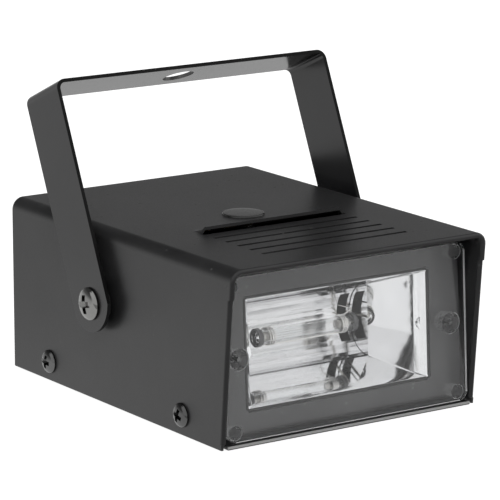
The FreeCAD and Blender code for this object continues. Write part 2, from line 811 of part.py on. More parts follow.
def reflector_bezel():
    """Metallised moulding that flares from the throat to the mouth."""
    wall = bezel_wall
    mouth = (mouth_half_width, mouth_half_height)
    throat = (throat_half_width, throat_half_height)
    outside = flare((mouth[0] + wall, mouth[1] + wall), (throat[0] + wall, throat[1] + wall),
                    bezel_corner, 0, throat_depth, lamp_centre_h)
    inside = flare(mouth, throat, bezel_inner_corner, 0, throat_depth, lamp_centre_h)
    back = panel_sheet + bezel_flange_thickness
    collar = cut_plate(mouth[0] + wall, mouth[1] + wall, bezel_corner,
                       0, back, lamp_centre_h)
    flange = cut_plate(mouth[0] + bezel_flange, mouth[1] + bezel_flange,
                       bezel_flange_corner, panel_sheet, back, lamp_centre_h)
    throat_rim = cut_plate(throat[0] + throat_flange, throat[1] + throat_flange, bezel_corner,
                           throat_depth - throat_flange_thickness, throat_depth, lamp_centre_h)
    toward_rear = Vector(0, 1, 0)
    solids = [outside, collar, flange, throat_rim]
    holes = [inside]
    for x in (-boss_x, boss_x):
        at = Vector(x, panel_sheet, lamp_centre_h)
        solids.append(bar(turned_facets, ear_radius, at, toward_rear, bezel_flange_thickness))
        holes.append(drill(wire_facets, board_screw_hole / 2, at, toward_rear,
                           bezel_flange_thickness))
    pilots = []
    for x in (-lamp_post_x, lamp_post_x):
        at = Vector(x, panel_sheet, lamp_centre_h)
        solids.append(bar(turned_facets, lamp_post_diameter / 2, at, toward_rear,
                          lamp_board_depth - panel_sheet))
        mouth_at = Vector(x, lamp_board_depth - lamp_pilot_depth, lamp_centre_h)
        pilots.append(drill(wire_facets, lamp_pilot / 2, mouth_at, toward_rear, lamp_pilot_depth))
    for x, h in stake_places():
        foot = Vector(x, throat_depth, h)
        solids.append(bar(wire_facets, stake_diameter / 2, foot, toward_rear, trough_sheet))
        behind = Vector(x, throat_depth + trough_sheet, h)
        solids.append(bar(wire_facets, stake_head / 2, behind, toward_rear, stake_head_height))
    return lean_back(cut(fuse(solids), holes + pilots))


def reflector_trough():
    """Polished sheet folded into narrow flats along half an ellipse, with staked flanges."""
    edge = throat_half_height
    path = [(throat_depth, lamp_centre_h - edge - trough_flange)]
    for i in range(trough_facets + 1):
        a = math.pi * i / trough_facets
        depth = throat_depth + (trough_depth - trough_sheet) * math.sin(a)
        path.append((depth, lamp_centre_h - edge * math.cos(a)))
    path.append((throat_depth, lamp_centre_h + edge + trough_flange))
    path.reverse()
    half = trough_half_length
    sheet = folded_along_x(path, trough_sheet, -half, half)
    toward_rear = Vector(0, 1, 0)
    holes = []
    for x, h in stake_places():
        at = Vector(x, 0, h)
        holes.append(drill(wire_facets, stake_diameter / 2 + stake_clearance, at,
                           toward_rear, AWAY))
    for x in (-lead_slot_x, lead_slot_x):
        half_slot = lead_slot_width / 2
        holes.append(box(x - half_slot, x + half_slot, throat_depth + trough_flat, AWAY,
                         lamp_centre_h - lead_slot_height / 2,
                         lamp_centre_h + lead_slot_height / 2))
    return lean_back(cut(sheet, holes))


# ================================================================ flash tube
def flash_tube():
    """Straight glass tube across the throat of the reflector."""
    start = Vector(-tube_half_length, tube_depth, lamp_centre_h)
    glass = rod(tube_diameter / 2, start, Vector(1, 0, 0), 2 * tube_half_length)
    glass = glass.cut(rod(tube_inner_radius, start, Vector(1, 0, 0), 2 * tube_half_length))
    return lean_back(glass)


def tube_end_rings():
    """Silicone rings that cushion the ends of the tube."""
    axis = Vector(1, 0, 0)
    start = Vector(tube_half_length - end_ring_length, tube_depth, lamp_centre_h)
    outside = bar(turned_facets, end_ring_diameter / 2, start, axis, end_ring_length)
    bore = rod(tube_diameter / 2 + end_ring_fit, start, axis, end_ring_length)
    return Part.makeCompound([lean_back(ring) for ring in both_sides(outside.cut(bore))])


def tube_electrodes():
    """Each end: metal electrode, glass-to-metal seal and the lead bent back to its board."""
    solids = []
    end = tube_half_length
    axis = Vector(1, 0, 0)
    for side in SIDES:
        seal_start = Vector(end - seal_length, tube_depth, lamp_centre_h)
        seal = bar(turned_facets, tube_inner_radius - seal_fit, seal_start, axis, seal_length)
        inner = Vector(end - seal_length - electrode_length, tube_depth, lamp_centre_h)
        electrode = bar(turned_facets, electrode_diameter / 2, inner, axis, electrode_length)
        back = lamp_board_depth + board_thickness + lead_tail
        lead = bent_wire([Vector(end - seal_length / 2, tube_depth, lamp_centre_h),
                          Vector(lead_x, tube_depth, lamp_centre_h),
                          Vector(lead_x, back, lamp_centre_h)],
                         lead_diameter, lead_bend)
        whole = fuse([seal, electrode, lead])
        if side < 0:
            whole = whole.mirror(Vector(0, 0, 0), Vector(1, 0, 0))
        solids.append(lean_back(whole))
    return Part.makeCompound(solids)


def trigger_wire():
    """Fine wire: a few turns round each end of the tube, joined by a run along it."""
    radius = trigger_ring_radius
    half = trigger_wire_diameter / 2
    axis = Vector(1, 0, 0)
    solids = []
    for side in SIDES:
        for turn in range(trigger_turns):
            x = side * (trigger_ring_x - trigger_pitch * turn)
            at = Vector(x - half, tube_depth, lamp_centre_h)
            ring = bar(turned_facets, radius + half, at, axis, trigger_wire_diameter)
            inside = drill(turned_facets, radius - half, at, axis, trigger_wire_diameter)
            solids.append(ring.cut(inside))
    along = Vector(-trigger_ring_x, tube_depth, lamp_centre_h - radius)
    solids.append(bar(wire_facets, half, along, axis, 2 * trigger_ring_x))
    back = lamp_board_depth + board_thickness + lead_tail
    x, h = trigger_exit_place()
    solids.append(bent_wire([Vector(trigger_ring_x, tube_depth, lamp_centre_h + radius),
                             Vector(x, tube_depth + trigger_rise, h),
                             Vector(x, back, h)],
                            trigger_wire_diameter, trigger_bend))
    return lean_back(fuse(solids))


def trigger_exit_place():
    return (lead_slot_x - trigger_exit, lamp_centre_h + trigger_ring_radius + trigger_rise)


# ================================================================ lamp board
def lamp_board():
    """Board behind the reflector that carries the tube by its leads."""
    board = cut_plate(lamp_board_half_width, lamp_board_half_height, lamp_board_corner,
                      lamp_board_depth, lamp_board_depth + board_thickness, lamp_centre_h)
    lead_hole = lead_diameter / 2 + solder_hole_fit
    drills = [(trigger_exit_place(), trigger_wire_diameter / 2 + solder_hole_fit)]
    for x in (-lamp_post_x, lamp_post_x):
        drills.append(((x, lamp_centre_h), board_screw_hole / 2))
    for x in (-lead_x, lead_x):
        drills.append(((x, lamp_centre_h), lead_hole))
    for x in lamp_wire_x:
        drills.append(((x, lamp_wire_h()), lead_hole))
    holes = [drill(wire_facets, radius, Vector(x, 0, h), Vector(0, 1, 0), AWAY)
             for (x, h), radius in drills]
    return lean_back(cut(board, holes))


def lamp_wire_h():
    return lamp_centre_h - lamp_board_half_height + lamp_wire_inset


def trigger_coil():
    """Small high-voltage bobbin on the back of the lamp board."""
    at = Vector(coil_x, lamp_board_depth + board_thickness, lamp_centre_h + coil_h)
    toward_rear = Vector(0, 1, 0)
    far = coil_length - coil_flange_thickness
    near = coil_flange_thickness
    flange = coil_flange / 2
    profile = [
        (0, flange), (near, flange), (near, coil_diameter / 2), (far, coil_diameter / 2),
        (far, flange), (coil_length, flange), (coil_length, coil_core / 2),
        (coil_length + coil_core_end, coil_core / 2),
    ]
    return lean_back(stand(turned(turned_facets, profile), at, toward_rear))


def screw_on_lamp(x, depth, outward):
    screw = pan_screw(wire_facets, board_screw_head, board_screw_head_height, board_screw,
                      board_screw_length)
    return lean_back(stand(screw, Vector(x, depth, lamp_centre_h), outward))


def lamp_board_screws():
    """Hold the lamp board on the bezel's two long posts."""
    depth = lamp_board_depth + board_thickness
    screws = [screw_on_lamp(x, depth, Vector(0, 1, 0)) for x in (-lamp_post_x, lamp_post_x)]
    return Part.makeCompound(screws)


def window_screws():
    """From behind, through the bezel's ears and the panel into the window's bosses."""
    depth = panel_sheet + bezel_flange_thickness
    screws = [screw_on_lamp(x, depth, Vector(0, 1, 0)) for x in (-boss_x, boss_x)]
    return Part.makeCompound(screws)


# ================================================================ main board
def main_board():
    """Board above the base for the supply, the timing and the stored charge."""
    board = box(-main_board_half_width, main_board_half_width, main_board_front,
                main_board_rear, board_top - board_thickness, board_top)
    drills = [(place, board_screw_hole / 2) for place in standoff_places()]
    for x in lamp_wire_x:
        place = (x, main_board_front + lamp_wire_inset)
        drills.append((place, lead_diameter / 2 + solder_hole_fit))
    for x in control_lead_x():
        place = (x, main_board_rear - control_lead_inset)
        drills.append((place, control_lead / 2 + solder_hole_fit))
    holes = [drill(wire_facets, radius, Vector(x, y, 0), Vector(0, 0, 1), AWAY)
             for (x, y), radius in drills]
    return cut(board, holes)


def control_lead_x():
    return [pot_x + pot_tag_pitch * i for i in (-1, 0, 1)]


def board_standoffs():
    """Six-sided pillars, their stubs pressed through the base."""
    up = Vector(0, 0, 1)
    pillars = []
    for x, y in standoff_places():
        foot = Vector(x, y, base_sheet)
        body = bar(6, standoff_diameter / 2, foot, up, standoff_height)
        stub = bar(6, standoff_stub / 2, Vector(x, y, standoff_stub_lift), up, base_sheet)
        pilot = drill(wire_facets, standoff_pilot / 2, foot, up, standoff_height)
        pillars.append(fuse([body, stub]).cut(pilot))
    return Part.makeCompound(pillars)


def board_screws():
    screw = pan_screw(wire_facets, board_screw_head, board_screw_head_height, board_screw,
                      board_screw_length)
    up = Vector(0, 0, 1)
    return Part.makeCompound([stand(screw, Vector(x, y, board_top), up)
                              for x, y in standoff_places()])


def storage_capacitors():
    """Two electrolytic cans standing on the main board, crimped near the foot."""
    wide = capacitor_diameter / 2
    narrow = wide - capacitor_groove
    crimp = capacitor_groove_height
    top = capacitor_height
    can = turned(turned_facets, [
        (0, wide), (crimp - capacitor_groove, wide), (crimp, narrow),
        (crimp + capacitor_groove, wide), (top - capacitor_round, wide),
        (top, wide - capacitor_round),
    ])
    up = Vector(0, 0, 1)
    return Part.makeCompound([stand(can, Vector(x, capacitor_y, board_top), up)
                              for x in capacitor_x])


def film_capacitor():
    """Moulded block capacitor that feeds the trigger coil."""
    length, width, height = film_capacitor_size
    x, y = film_capacitor_at
    body = box(x - length / 2, x + length / 2, y - width / 2, y + width / 2,
               board_top, board_top + height)
    top = [e for e in body.Edges if e.CenterOfMass.z > board_top + height - 0.01]
    return body.makeChamfer(film_capacitor_round, top)


def legged(body, places, foot, top):
    """A component body and its wire legs down to the board."""
    legs = [bar(wire_facets, leg_diameter / 2, Vector(x, y, foot), Vector(0, 0, 1), top - foot)
            for x, y in places]
    return fuse([body] + legs)


def power_resistor():
    """Ceramic-cased wirewound resistor, held off the board on its legs."""
    length, width, height = resistor_size
    x, y = resistor_at
    low = board_top + resistor_lift
    body = box(x - length / 2, x + length / 2, y - width / 2, y + width / 2, low, low + height)
    body = body.makeChamfer(resistor_chamfer, [e for e in body.Edges if e.Length > width + 1])
    reach = length / 2 - resistor_leg_inset
    return legged(body, [(x - reach, y), (x + reach, y)], board_top, low + leg_root)


def rectifier_diodes():
    """Voltage-doubler diodes lying in a row, legs bent down into the board."""
    diodes = []
    x, y0 = diode_at
    lift = board_top + diode_diameter / 2 + diode_lift
    for row in range(diode_rows):
        y = y0 + row * diode_pitch
        start = Vector(x - diode_length / 2, y, lift)
        body = bar(turned_facets, diode_diameter / 2, start, Vector(1, 0, 0), diode_length)
        reach = diode_length / 2 + diode_leg_reach
        wire = bent_wire([Vector(x - reach, y, board_top), Vector(x - reach, y, lift),
                          Vector(x + reach, y, lift), Vector(x + reach, y, board_top)],
                         leg_diameter, diode_leg_bend)
        diodes.append(fuse([body, wire]))
    return Part.makeCompound(diodes)


def thyristor():
    """Three-legged flat package with its metal tab, standing on the board."""
    length, width, height = thyristor_size
    x, y = thyristor_at
    low = board_top + thyristor_lift
    face = y - width / 2
    top = low + height
    body = box(x - length / 2, x + length / 2, face, face + width, low, top)
    tab = box(x - length / 2, x + length / 2, face, face + thyristor_tab,
              top, top + thyristor_tab_height)
    hole_at = Vector(x, face, top + thyristor_tab_height / 2)
    tab = tab.cut(drill(wire_facets, thyristor_tab_hole / 2, hole_at, Vector(0, 1, 0),
                        thyristor_tab))
    legs = [(x + thyristor_leg_pitch * i, y) for i in (-1, 0, 1)]
    return legged(fuse([body, tab]), legs, board_top, low + leg_root)


def fuse_link():
    """Glass cartridge fuse with its two end caps."""
    x, y = fuse_at
    axis = Vector(1, 0, 0)
    start = Vector(x - fuse_length / 2, y, board_top + fuse_height)
    cap = fuse_diameter / 2
    glass = cap - fuse_cap_step
    far = fuse_length - fuse_cap
    profile = [(0, cap), (fuse_cap, cap), (fuse_cap, glass), (far, glass), (far, cap),
               (fuse_length, cap)]
    return stand(turned(turned_facets, profile), start, axis)


def fuse_clips():
    """Two spring clips that hold the fuse by its caps."""
    x, y = fuse_at
    z = board_top + fuse_height
    axis = Vector(1, 0, 0)
    inner = fuse_diameter / 2 + fuse_clearance
    clips = []
    for side in SIDES:
        near = x + side * (fuse_length - fuse_cap) / 2 - clip_width / 2
        far = near + clip_width
        at = Vector(near, y, z)
        ring = bar(turned_facets, inner + clip_sheet, at, axis, clip_width)
        foot = box(near, far, y - clip_foot / 2, y + clip_foot / 2, board_top, z)
        bore = drill(turned_facets, inner, at, axis, clip_width)
        mouth = box(near, far, y - clip_mouth / 2, y + clip_mouth / 2,
                    z + clip_mouth_rise, z + fuse_diameter)
        clips.append(cut(fuse([ring, foot]), [bore, mouth]))
    return Part.makeCompound(clips)


def terminal_block():
    """Two-way screw terminal for the incoming cord."""
    length, width, height = terminal_size
    x, y = terminal_at
    body = box(x - length / 2, x + length / 2, y - width / 2, y + width / 2,
               board_top, board_top + height)
    top = board_top + height
    body = body.makeChamfer(terminal_chamfer, [e for e in body.Edges
                                               if e.CenterOfMass.z > top - 0.01
                                               and e.Length > width + 1])
    holes = []
    for shift in (-length / 4, length / 4):
        at = Vector(x + shift, y, top - terminal_screw_depth)
        holes.append(drill(wire_facets, terminal_screw_hole / 2, at, Vector(0, 0, 1),
                           terminal_screw_depth))
        mouth = Vector(x + shift, y + width / 2, board_top + terminal_wire_height)
        holes.append(drill(wire_facets, terminal_wire_hole / 2, mouth, Vector(0, -1, 0), width / 2))
    return cut(body, holes)


def lamp_leads():
    """Three stiff wires from the lamp board down into the main board."""
    turn = Rotation(Vector(1, 0, 0), -panel_lean)
    end_y = main_board_front + lamp_wire_inset
    wires = []
    for x in lamp_wire_x:
        start = turn.multVec(Vector(x, lamp_board_depth, lamp_wire_h()))
        start = start + Vector(0, panel_base_y, base_sheet)
        wires.append(bent_wire([start, Vector(x, end_y, start.z),
                                Vector(x, end_y, board_top - board_thickness)],
                               lead_diameter, lamp_wire_bend))
    return Part.makeCompound(wires)


# ================================================================ speed control
def speed_potentiometer():
    """Round carbon-track control behind the rear panel, its bushing through it."""
    back = rear_panel_y - base_sheet
    at = Vector(pot_x, back - pot_body_depth, pot_z)
    toward_rear = Vector(0, 1, 0)
    can = bar(turned_facets, pot_diameter / 2, at, toward_rear, pot_body_depth)
    bushing = bar(turned_facets, pot_bushing / 2, at, toward_rear,
                  pot_body_depth + base_sheet + pot_bushing_length)
    tag_back = back - pot_tag_setback
    tags = [box(x - pot_tag_width / 2, x + pot_tag_width / 2,
                tag_back - pot_tag_sheet, tag_back,
                pot_tag_end(), pot_z - pot_diameter / 4) for x in control_lead_x()]
    bore_start = Vector(pot_x, back - pot_body_depth + pot_back_wall, pot_z)
    bore = rod(shaft_diameter / 2 + shaft_running_fit, bore_start, toward_rear, AWAY)
    return fuse([can, bushing] + tags).cut(bore)


def pot_tag_end():
    return pot_z - pot_diameter / 2 - pot_tag_length


def control_leads():
    """Three wires from the potentiometer's tags to the rear of the main board."""
    start_y = rear_panel_y - base_sheet - pot_tag_setback - pot_tag_sheet / 2
    end_y = main_board_rear - control_lead_inset
    wires = []
    for x in control_lead_x():
        wires.append(bent_wire([Vector(x, start_y, pot_tag_end() - control_lead_gap),
                                Vector(x, start_y, control_lead_z),
                                Vector(x, end_y, control_lead_z),
                                Vector(x, end_y, board_top - board_thickness)],
                               control_lead, control_lead_bend))
    return Part.makeCompound(wires)


def potentiometer_nut():
    thread = pot_bushing / 2 + thread_fit
    ring = nut(pot_nut_flats, pot_nut_thickness, thread)
    return stand(ring, Vector(pot_x, rear_panel_y, pot_z), Vector(0, 1, 0))


def potentiometer_shaft():
    """Shaft with a flat, from inside the potentiometer into the knob."""
    start_y = rear_panel_y - base_sheet - pot_body_depth + shaft_inside
    end_y = knob_front + knob_height - knob_top_wall - knob_shaft_gap
    shaft = rod(shaft_diameter / 2, Vector(pot_x, start_y, pot_z), Vector(0, 1, 0),
                end_y - start_y)
    flat = box(pot_x - shaft_diameter, pot_x + shaft_diameter,
               end_y - knob_bore_depth + flat_setback, end_y,
               pot_z + shaft_diameter / 2 - flat_depth, pot_z + shaft_diameter)
    return shaft.cut(flat)


def speed_knob():
    """Fluted knob with a skirt and a pointer groove."""
    radius = knob_diameter / 2
    top = knob_height
    grip = skin([fluted(radius, 0), fluted(radius - knob_taper, top)])
    up = Vector(0, 0, 1)
    skirt = bar(turned_facets, knob_skirt_diameter / 2, Vector(0, 0, 0), up, knob_skirt_height)
    bore = rod(shaft_diameter / 2 + knob_bore_fit, Vector(0, 0, 0), up, top - knob_top_wall)
    key_side = shaft_diameter / 2 - flat_depth + knob_bore_fit
    key_start = top - knob_top_wall - knob_bore_depth + knob_key_setback
    key = box(-radius, radius, key_side, radius, key_start, top)
    bore = bore.cut(key)
    recess = bar(turned_facets, pot_nut_flats / 2 + knob_recess_wall, Vector(0, 0, 0), up,
                 pot_bushing_length - knob_lift + knob_recess_room)
    pointer = box(-knob_pointer_width / 2, knob_pointer_width / 2,
                  knob_pointer_start, radius, top - knob_pointer_depth, top)
    body = cut(fuse([grip, skirt]), [bore, recess, pointer])
    body.rotate(Vector(0, 0, 0), Vector(1, 0, 0), -90)
    body.rotate(Vector(0, 0, 0), Vector(0, 1, 0), 180)
    body.translate(Vector(pot_x, knob_front, pot_z))
    return body


def fluted(radius, z):
    """Outline of the grip: a flat and a groove in turn."""
    points = []
    for i in range(knob_flutes):
        start = 2 * math.pi * i / knob_flutes
        for share, r in ((0, radius), (knob_flat_share, radius),
                         ((1 + knob_flat_share) / 2, radius * (1 - knob_flute_depth))):
            a = start + 2 * math.pi * share / knob_flutes
            points.append(Vector(r * math.cos(a), r * math.sin(a), z))
    return points


# ================================================================ cord inlet
def cable_gland():
    """Threaded plastic gland for the supply cord."""
    outside = hexagon(gland_hex, gland_flange_length)
    dome = turned(turned_facets, [
        (gland_flange_length, gland_hex / 2 - gland_dome_step),
        (gland_flange_length + gland_dome_length, gland_bore / 2 + gland_dome_wall),
    ])
    up = Vector(0, 0, 1)
    inner_end = Vector(0, 0, -base_sheet - gland_inside)
    thread = bar(turned_facets, gland_thread / 2, inner_end, up, base_sheet + gland_inside)
    bore = rod(gland_bore / 2, inner_end, up, AWAY)
    body = fuse([outside, dome, thread]).cut(bore)
    return stand(body, Vector(gland_x, rear_panel_y, gland_z), Vector(0, 1, 0))


def gland_nut():
    ring = nut(gland_nut_flats, gland_nut_thickness, gland_thread / 2 + gland_fit)
    at = Vector(gland_x, rear_panel_y - base_sheet, gland_z)
    return stand(ring, at, Vector(0, -1, 0))


# ================================================================ yoke and fasteners
def mounting_yoke():
    """Flat strap bent into a U, with rounded ends and a hole for a hanging bolt."""
    low = -2 * yoke_end
    out = yoke_outside
    fold = [(out, low), (out, yoke_reach), (-out, yoke_reach), (-out, low)]
    strap = sheet_along_y(fold, yoke_sheet, yoke_bend, -yoke_width / 2, yoke_width / 2)
    half = yoke_width / 2
    edges = [
        Part.makeLine(Vector(0, -half, -yoke_shoulder), Vector(0, -half, AWAY)),
        Part.makeLine(Vector(0, -half, AWAY), Vector(0, half, AWAY)),
        Part.makeLine(Vector(0, half, AWAY), Vector(0, half, -yoke_shoulder)),
        Part.Arc(Vector(0, half, -yoke_shoulder), Vector(0, 0, -yoke_end),
                 Vector(0, -half, -yoke_shoulder)).toShape(),
    ]
    outline = Part.Face(Part.Wire(edges))
    outline.translate(Vector(-AWAY, 0, 0))
    strap = strap.common(outline.extrude(Vector(2 * AWAY, 0, 0)))
    pivot_bore = rod(pivot_screw / 2 + pivot_running_fit, Vector(-AWAY, 0, 0),
                     Vector(1, 0, 0), 2 * AWAY)
    mount_bore = rod(yoke_mount_hole / 2, Vector(0, 0, yoke_reach / 2), Vector(0, 0, 1), AWAY)
    strap = cut(strap, [pivot_bore, mount_bore])
    strap.rotate(Vector(0, 0, 0), Vector(1, 0, 0), -yoke_tilt)
    strap.translate(Vector(0, pivot_y, pivot_z))
    return strap


def pivot_screws():
    """The two screws on which the arms turn."""
    screw = pan_screw(turned_facets, pivot_head, pivot_head_height, pivot_screw, pivot_screw_length)
    journal = rod(pivot_screw / 2, Vector(0, 0, 0), Vector(0, 0, -1),
                  yoke_sheet + 2 * pivot_face_play)
    at = Vector(yoke_outside + pivot_face_play, pivot_y, pivot_z)
    return Part.makeCompound(both_sides(stand(fuse([screw, journal]), at, Vector(1, 0, 0))))


def pivot_spacers():
    """Rubber washers that grip the arms and keep them off the paint."""
    ring = bar(turned_facets, spacer_diameter / 2, Vector(half_width, pivot_y, pivot_z),
               Vector(1, 0, 0), yoke_side_gap - pivot_face_play)
    bore = cross_hole(pivot_screw / 2 + pivot_hole_fit, pivot_y, pivot_z)
    return Part.makeCompound(both_sides(ring.cut(bore)))


def pivot_washers():
    inner_face = half_width - cover_sheet
    ring = bar(turned_facets, pivot_washer / 2, Vector(inner_face, pivot_y, pivot_z),
               Vector(-1, 0, 0), pivot_washer_thickness)
    bore = cross_hole(pivot_screw / 2 + pivot_hole_fit, pivot_y, pivot_z)
    return Part.makeCompound(both_sides(ring.cut(bore)))


def pivot_nuts():
    ring = nut(pivot_nut_flats, pivot_nut_thickness, pivot_screw / 2 + thread_fit)
    at = Vector(half_width - cover_sheet - pivot_washer_thickness, pivot_y, pivot_z)
    return Part.makeCompound(both_sides(stand(ring, at, Vector(-1, 0, 0))))


def cover_screws():
    screw = pan_screw(turned_facets, cover_screw_head, cover_screw_head_height, cover_screw,
                      cover_screw_length)
    screws = []
    for y in (-cover_screw_y, cover_screw_y):
        at = Vector(half_width, y, cover_screw_z)
        screws += both_sides(stand(screw, at, Vector(1, 0, 0)))
    return Part.makeCompound(screws)


def panel_rivets():
    """Domed rivets through the front panel's foot and the base."""
    rivets = []
    head_z = base_sheet + panel_sheet
    for x, y in rivet_places():
        rivet = turned(wire_facets, [
            (rivet_lift, rivet_diameter / 2), (head_z, rivet_diameter / 2),
            (head_z, rivet_head / 2), (head_z + rivet_head_height, rivet_crown / 2),
        ])
        rivets.append(stand(rivet, Vector(x, y, 0), Vector(0, 0, 1)))
    return Part.makeCompound(rivets)


# ================================================================ output
NODES = [
    top_cover, hole_plug, base_chassis, front_panel, clear_window, window_screws,
    reflector_bezel, reflector_trough, flash_tube, tube_end_rings, tube_electrodes, trigger_wire,
    lamp_board, lamp_board_screws, trigger_coil, lamp_leads,
    main_board, board_standoffs, board_screws, storage_capacitors, film_capacitor,
    power_resistor, rectifier_diodes, thyristor, fuse_link, fuse_clips, terminal_block,
    speed_potentiometer, control_leads, potentiometer_nut, potentiometer_shaft, speed_knob,
    cable_gland, gland_nut,
    mounting_yoke, pivot_screws, pivot_spacers, pivot_washers, pivot_nuts,
    cover_screws, panel_rivets,
]

os.makedirs("parts", exist_ok=True)
for build in NODES:
    shape = build()
    if not shape.isValid():
        raise ValueError(build.__name__ + " is not a valid solid")
    shape.exportStep("parts/" + build.__name__ + ".step")
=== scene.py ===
from math import asin, cos, degrees, pi, radians, sin, tan

import bmesh
import bpy
from mathutils import Matrix, Vector


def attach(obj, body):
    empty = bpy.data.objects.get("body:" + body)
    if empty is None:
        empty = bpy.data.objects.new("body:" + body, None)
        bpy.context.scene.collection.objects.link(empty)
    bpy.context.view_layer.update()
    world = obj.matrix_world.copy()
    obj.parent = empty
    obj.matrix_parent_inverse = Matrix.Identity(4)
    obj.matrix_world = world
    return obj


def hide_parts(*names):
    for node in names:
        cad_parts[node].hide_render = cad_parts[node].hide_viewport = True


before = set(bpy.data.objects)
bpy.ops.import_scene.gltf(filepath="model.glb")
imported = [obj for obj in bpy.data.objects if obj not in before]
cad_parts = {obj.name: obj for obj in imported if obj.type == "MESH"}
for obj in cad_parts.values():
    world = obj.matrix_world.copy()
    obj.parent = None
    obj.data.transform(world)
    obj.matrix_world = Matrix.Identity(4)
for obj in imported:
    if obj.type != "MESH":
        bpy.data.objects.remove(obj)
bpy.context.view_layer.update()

# Small xenon stroboscope. Lengths are millimetres until a mesh is finished, and metres in
# materials and in the studio.
MM = 0.001

# ------------ top cover
# One sheet of 1.2 mm steel bent down both sides, its front edges folded back inside as a
# hem. Six slits are cut in the top, and behind the rearmost the sheet is pressed up into a
# louvre. Painted satin black.
body_half = 60.0
body_top = 70.5
sheet = 1.2
front_foot = -76.5
rear_edge = 76.5
hood_lean = 6.2 / body_top
cover_bend = 5.0
hem = 7.0
hem_foot = 2.2
rim_foot = 59.0
rim_step = 0.9
slit_rear = -24.2
slit_pitch = 8.1
slit_count = 6
slit_width = 2.0
slit_half = 34.0
lip_edge = slit_rear + slit_width / 2
lip_rise = 2.5
lip_depth = 7.0
lip_end = 1.8
plug_y, plug_bore = -2.3, 7.0
pivot_y, pivot_z, pivot_bore = 9.2, 40.4, 3.25
cover_screw_y, cover_screw_z, cover_screw_bore = 48.5, 7.8, 2.4
across_all = 90.0


def arc(radius, start, end, steps):
    """Points of an arc about the origin, angles in degrees, both ends kept."""
    turns = [radians(start + (end - start) * i / steps) for i in range(steps + 1)]
    return [(radius * cos(a), radius * sin(a)) for a in turns]


def skin(rings, closed=False):
    """bmesh of quads between closed rings of points, with flat ends or joined end to end."""
    bm = bmesh.new()
    loops = [[bm.verts.new(p) for p in ring] for ring in rings]
    pairs = list(zip(loops, loops[1:]))
    if closed:
        pairs.append((loops[-1], loops[0]))
    else:
        bm.faces.new(loops[0])
        bm.faces.new(list(reversed(loops[-1])))
    for low, high in pairs:
        for i in range(len(low)):
            bm.faces.new((low[i - 1], low[i], high[i], high[i - 1]))
    bmesh.ops.remove_doubles(bm, verts=bm.verts, dist=1e-4)
    bmesh.ops.dissolve_degenerate(bm, edges=bm.edges, dist=1e-4)
    bmesh.ops.recalc_face_normals(bm, faces=bm.faces)
    return bm


def turned(profile, steps=48, closed=False):
    """bmesh of a profile of (radius, height) turned round +Z."""
    rings = []
    for radius, height in profile:
        rings.append([(radius * cos(a), radius * sin(a), height)
                      for a in (2 * pi * i / steps for i in range(steps))])
    return skin(rings, closed)


def block(low, high):
    """bmesh of a plain box, for cutting."""
    bm = bmesh.new()
    bmesh.ops.create_cube(bm, size=1)
    for v in bm.verts:
        v.co = [l + (c + 0.5) * (h - l) for l, h, c in zip(low, high, v.co)]
    return bm


def joined(shapes):
    """One bmesh out of several."""
    whole = bmesh.new()
    for shape in shapes:
        mesh = bpy.data.meshes.new("part of a piece")
        shape.to_mesh(mesh)
        shape.free()
        whole.from_mesh(mesh)
        bpy.data.meshes.remove(mesh)
    return whole


def aimed(shape, at, direction, turn=0.0):
    """A shape that stands on +Z, turned about it, then aimed in a direction and moved."""
    aim = Vector(direction).to_track_quat("Z", "Y").to_matrix().to_4x4()
    shape.transform(Matrix.Translation(at) @ aim @ Matrix.Rotation(radians(turn), 4, "Z"))
    return shape


def placed(name, data):
    """New object in the scene."""
    obj = bpy.data.objects.new(name, data)
    bpy.context.scene.collection.objects.link(obj)
    return obj


def stock(shape):
    """Object for modifiers to work on, out of a bmesh."""
    mesh = bpy.data.meshes.new("stock")
    shape.to_mesh(mesh)
    shape.free()
    return placed("stock", mesh)


def evaluated(obj, *helpers):
    """bmesh of an object with its modifiers worked out; it and its helpers are removed."""
    bpy.context.view_layer.update()
    result = bpy.data.meshes.new_from_object(obj.evaluated_get(bpy.context.evaluated_depsgraph_get()))
    bm = bmesh.new()
    bm.from_mesh(result)
    used = [result] + [each.data for each in (obj, *helpers)]
    for each in (obj, *helpers):
        bpy.data.objects.remove(each)
    for mesh in used:
        bpy.data.meshes.remove(mesh)
    return bm


def worked(shape, *steps, bevel=0.0, angle=35, segments=2):
    """Cut, join and round a bmesh with real modifiers, and give back a plain bmesh."""
    body = stock(shape)
    tools = []
    for operation, tool in steps:
        change = body.modifiers.new(operation, "BOOLEAN")
        change.operation = operation
        change.solver = "EXACT"
        change.object = stock(tool)
        tools.append(change.object)
    if bevel:
        edge = body.modifiers.new("edges", "BEVEL")
        edge.width = bevel
        edge.segments = segments
        edge.limit_method = "ANGLE"
        edge.angle_limit = radians(angle)
    return evaluated(body, *tools)


def piece(name, shape, body, material, replaces=(), smooth=32, partly=()):
    """Finish a bmesh in millimetres as a piece of the lamp that rides on a body.

    partly gives further materials, each with a test of a face's centre that says where.
    """
    for face in shape.faces:
        centre = face.calc_center_median()
        for i, (_, covers) in enumerate(partly):
            if covers(centre):
                face.material_index = i + 1
    for v in shape.verts:
        v.co *= MM
    mesh = bpy.data.meshes.new(name)
    shape.to_mesh(mesh)
    shape.free()
    mesh.shade_smooth()
    mesh.set_sharp_from_angle(angle=radians(smooth))
    for finish in [material] + [other for other, _ in partly]:
        mesh.materials.append(finish)
    obj = placed(name, mesh)
    obj.modifiers.new("flat faces stay flat", "WEIGHTED_NORMAL").keep_sharp = True
    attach(obj, body)
    if replaces:
        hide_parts(*replaces)
    return obj


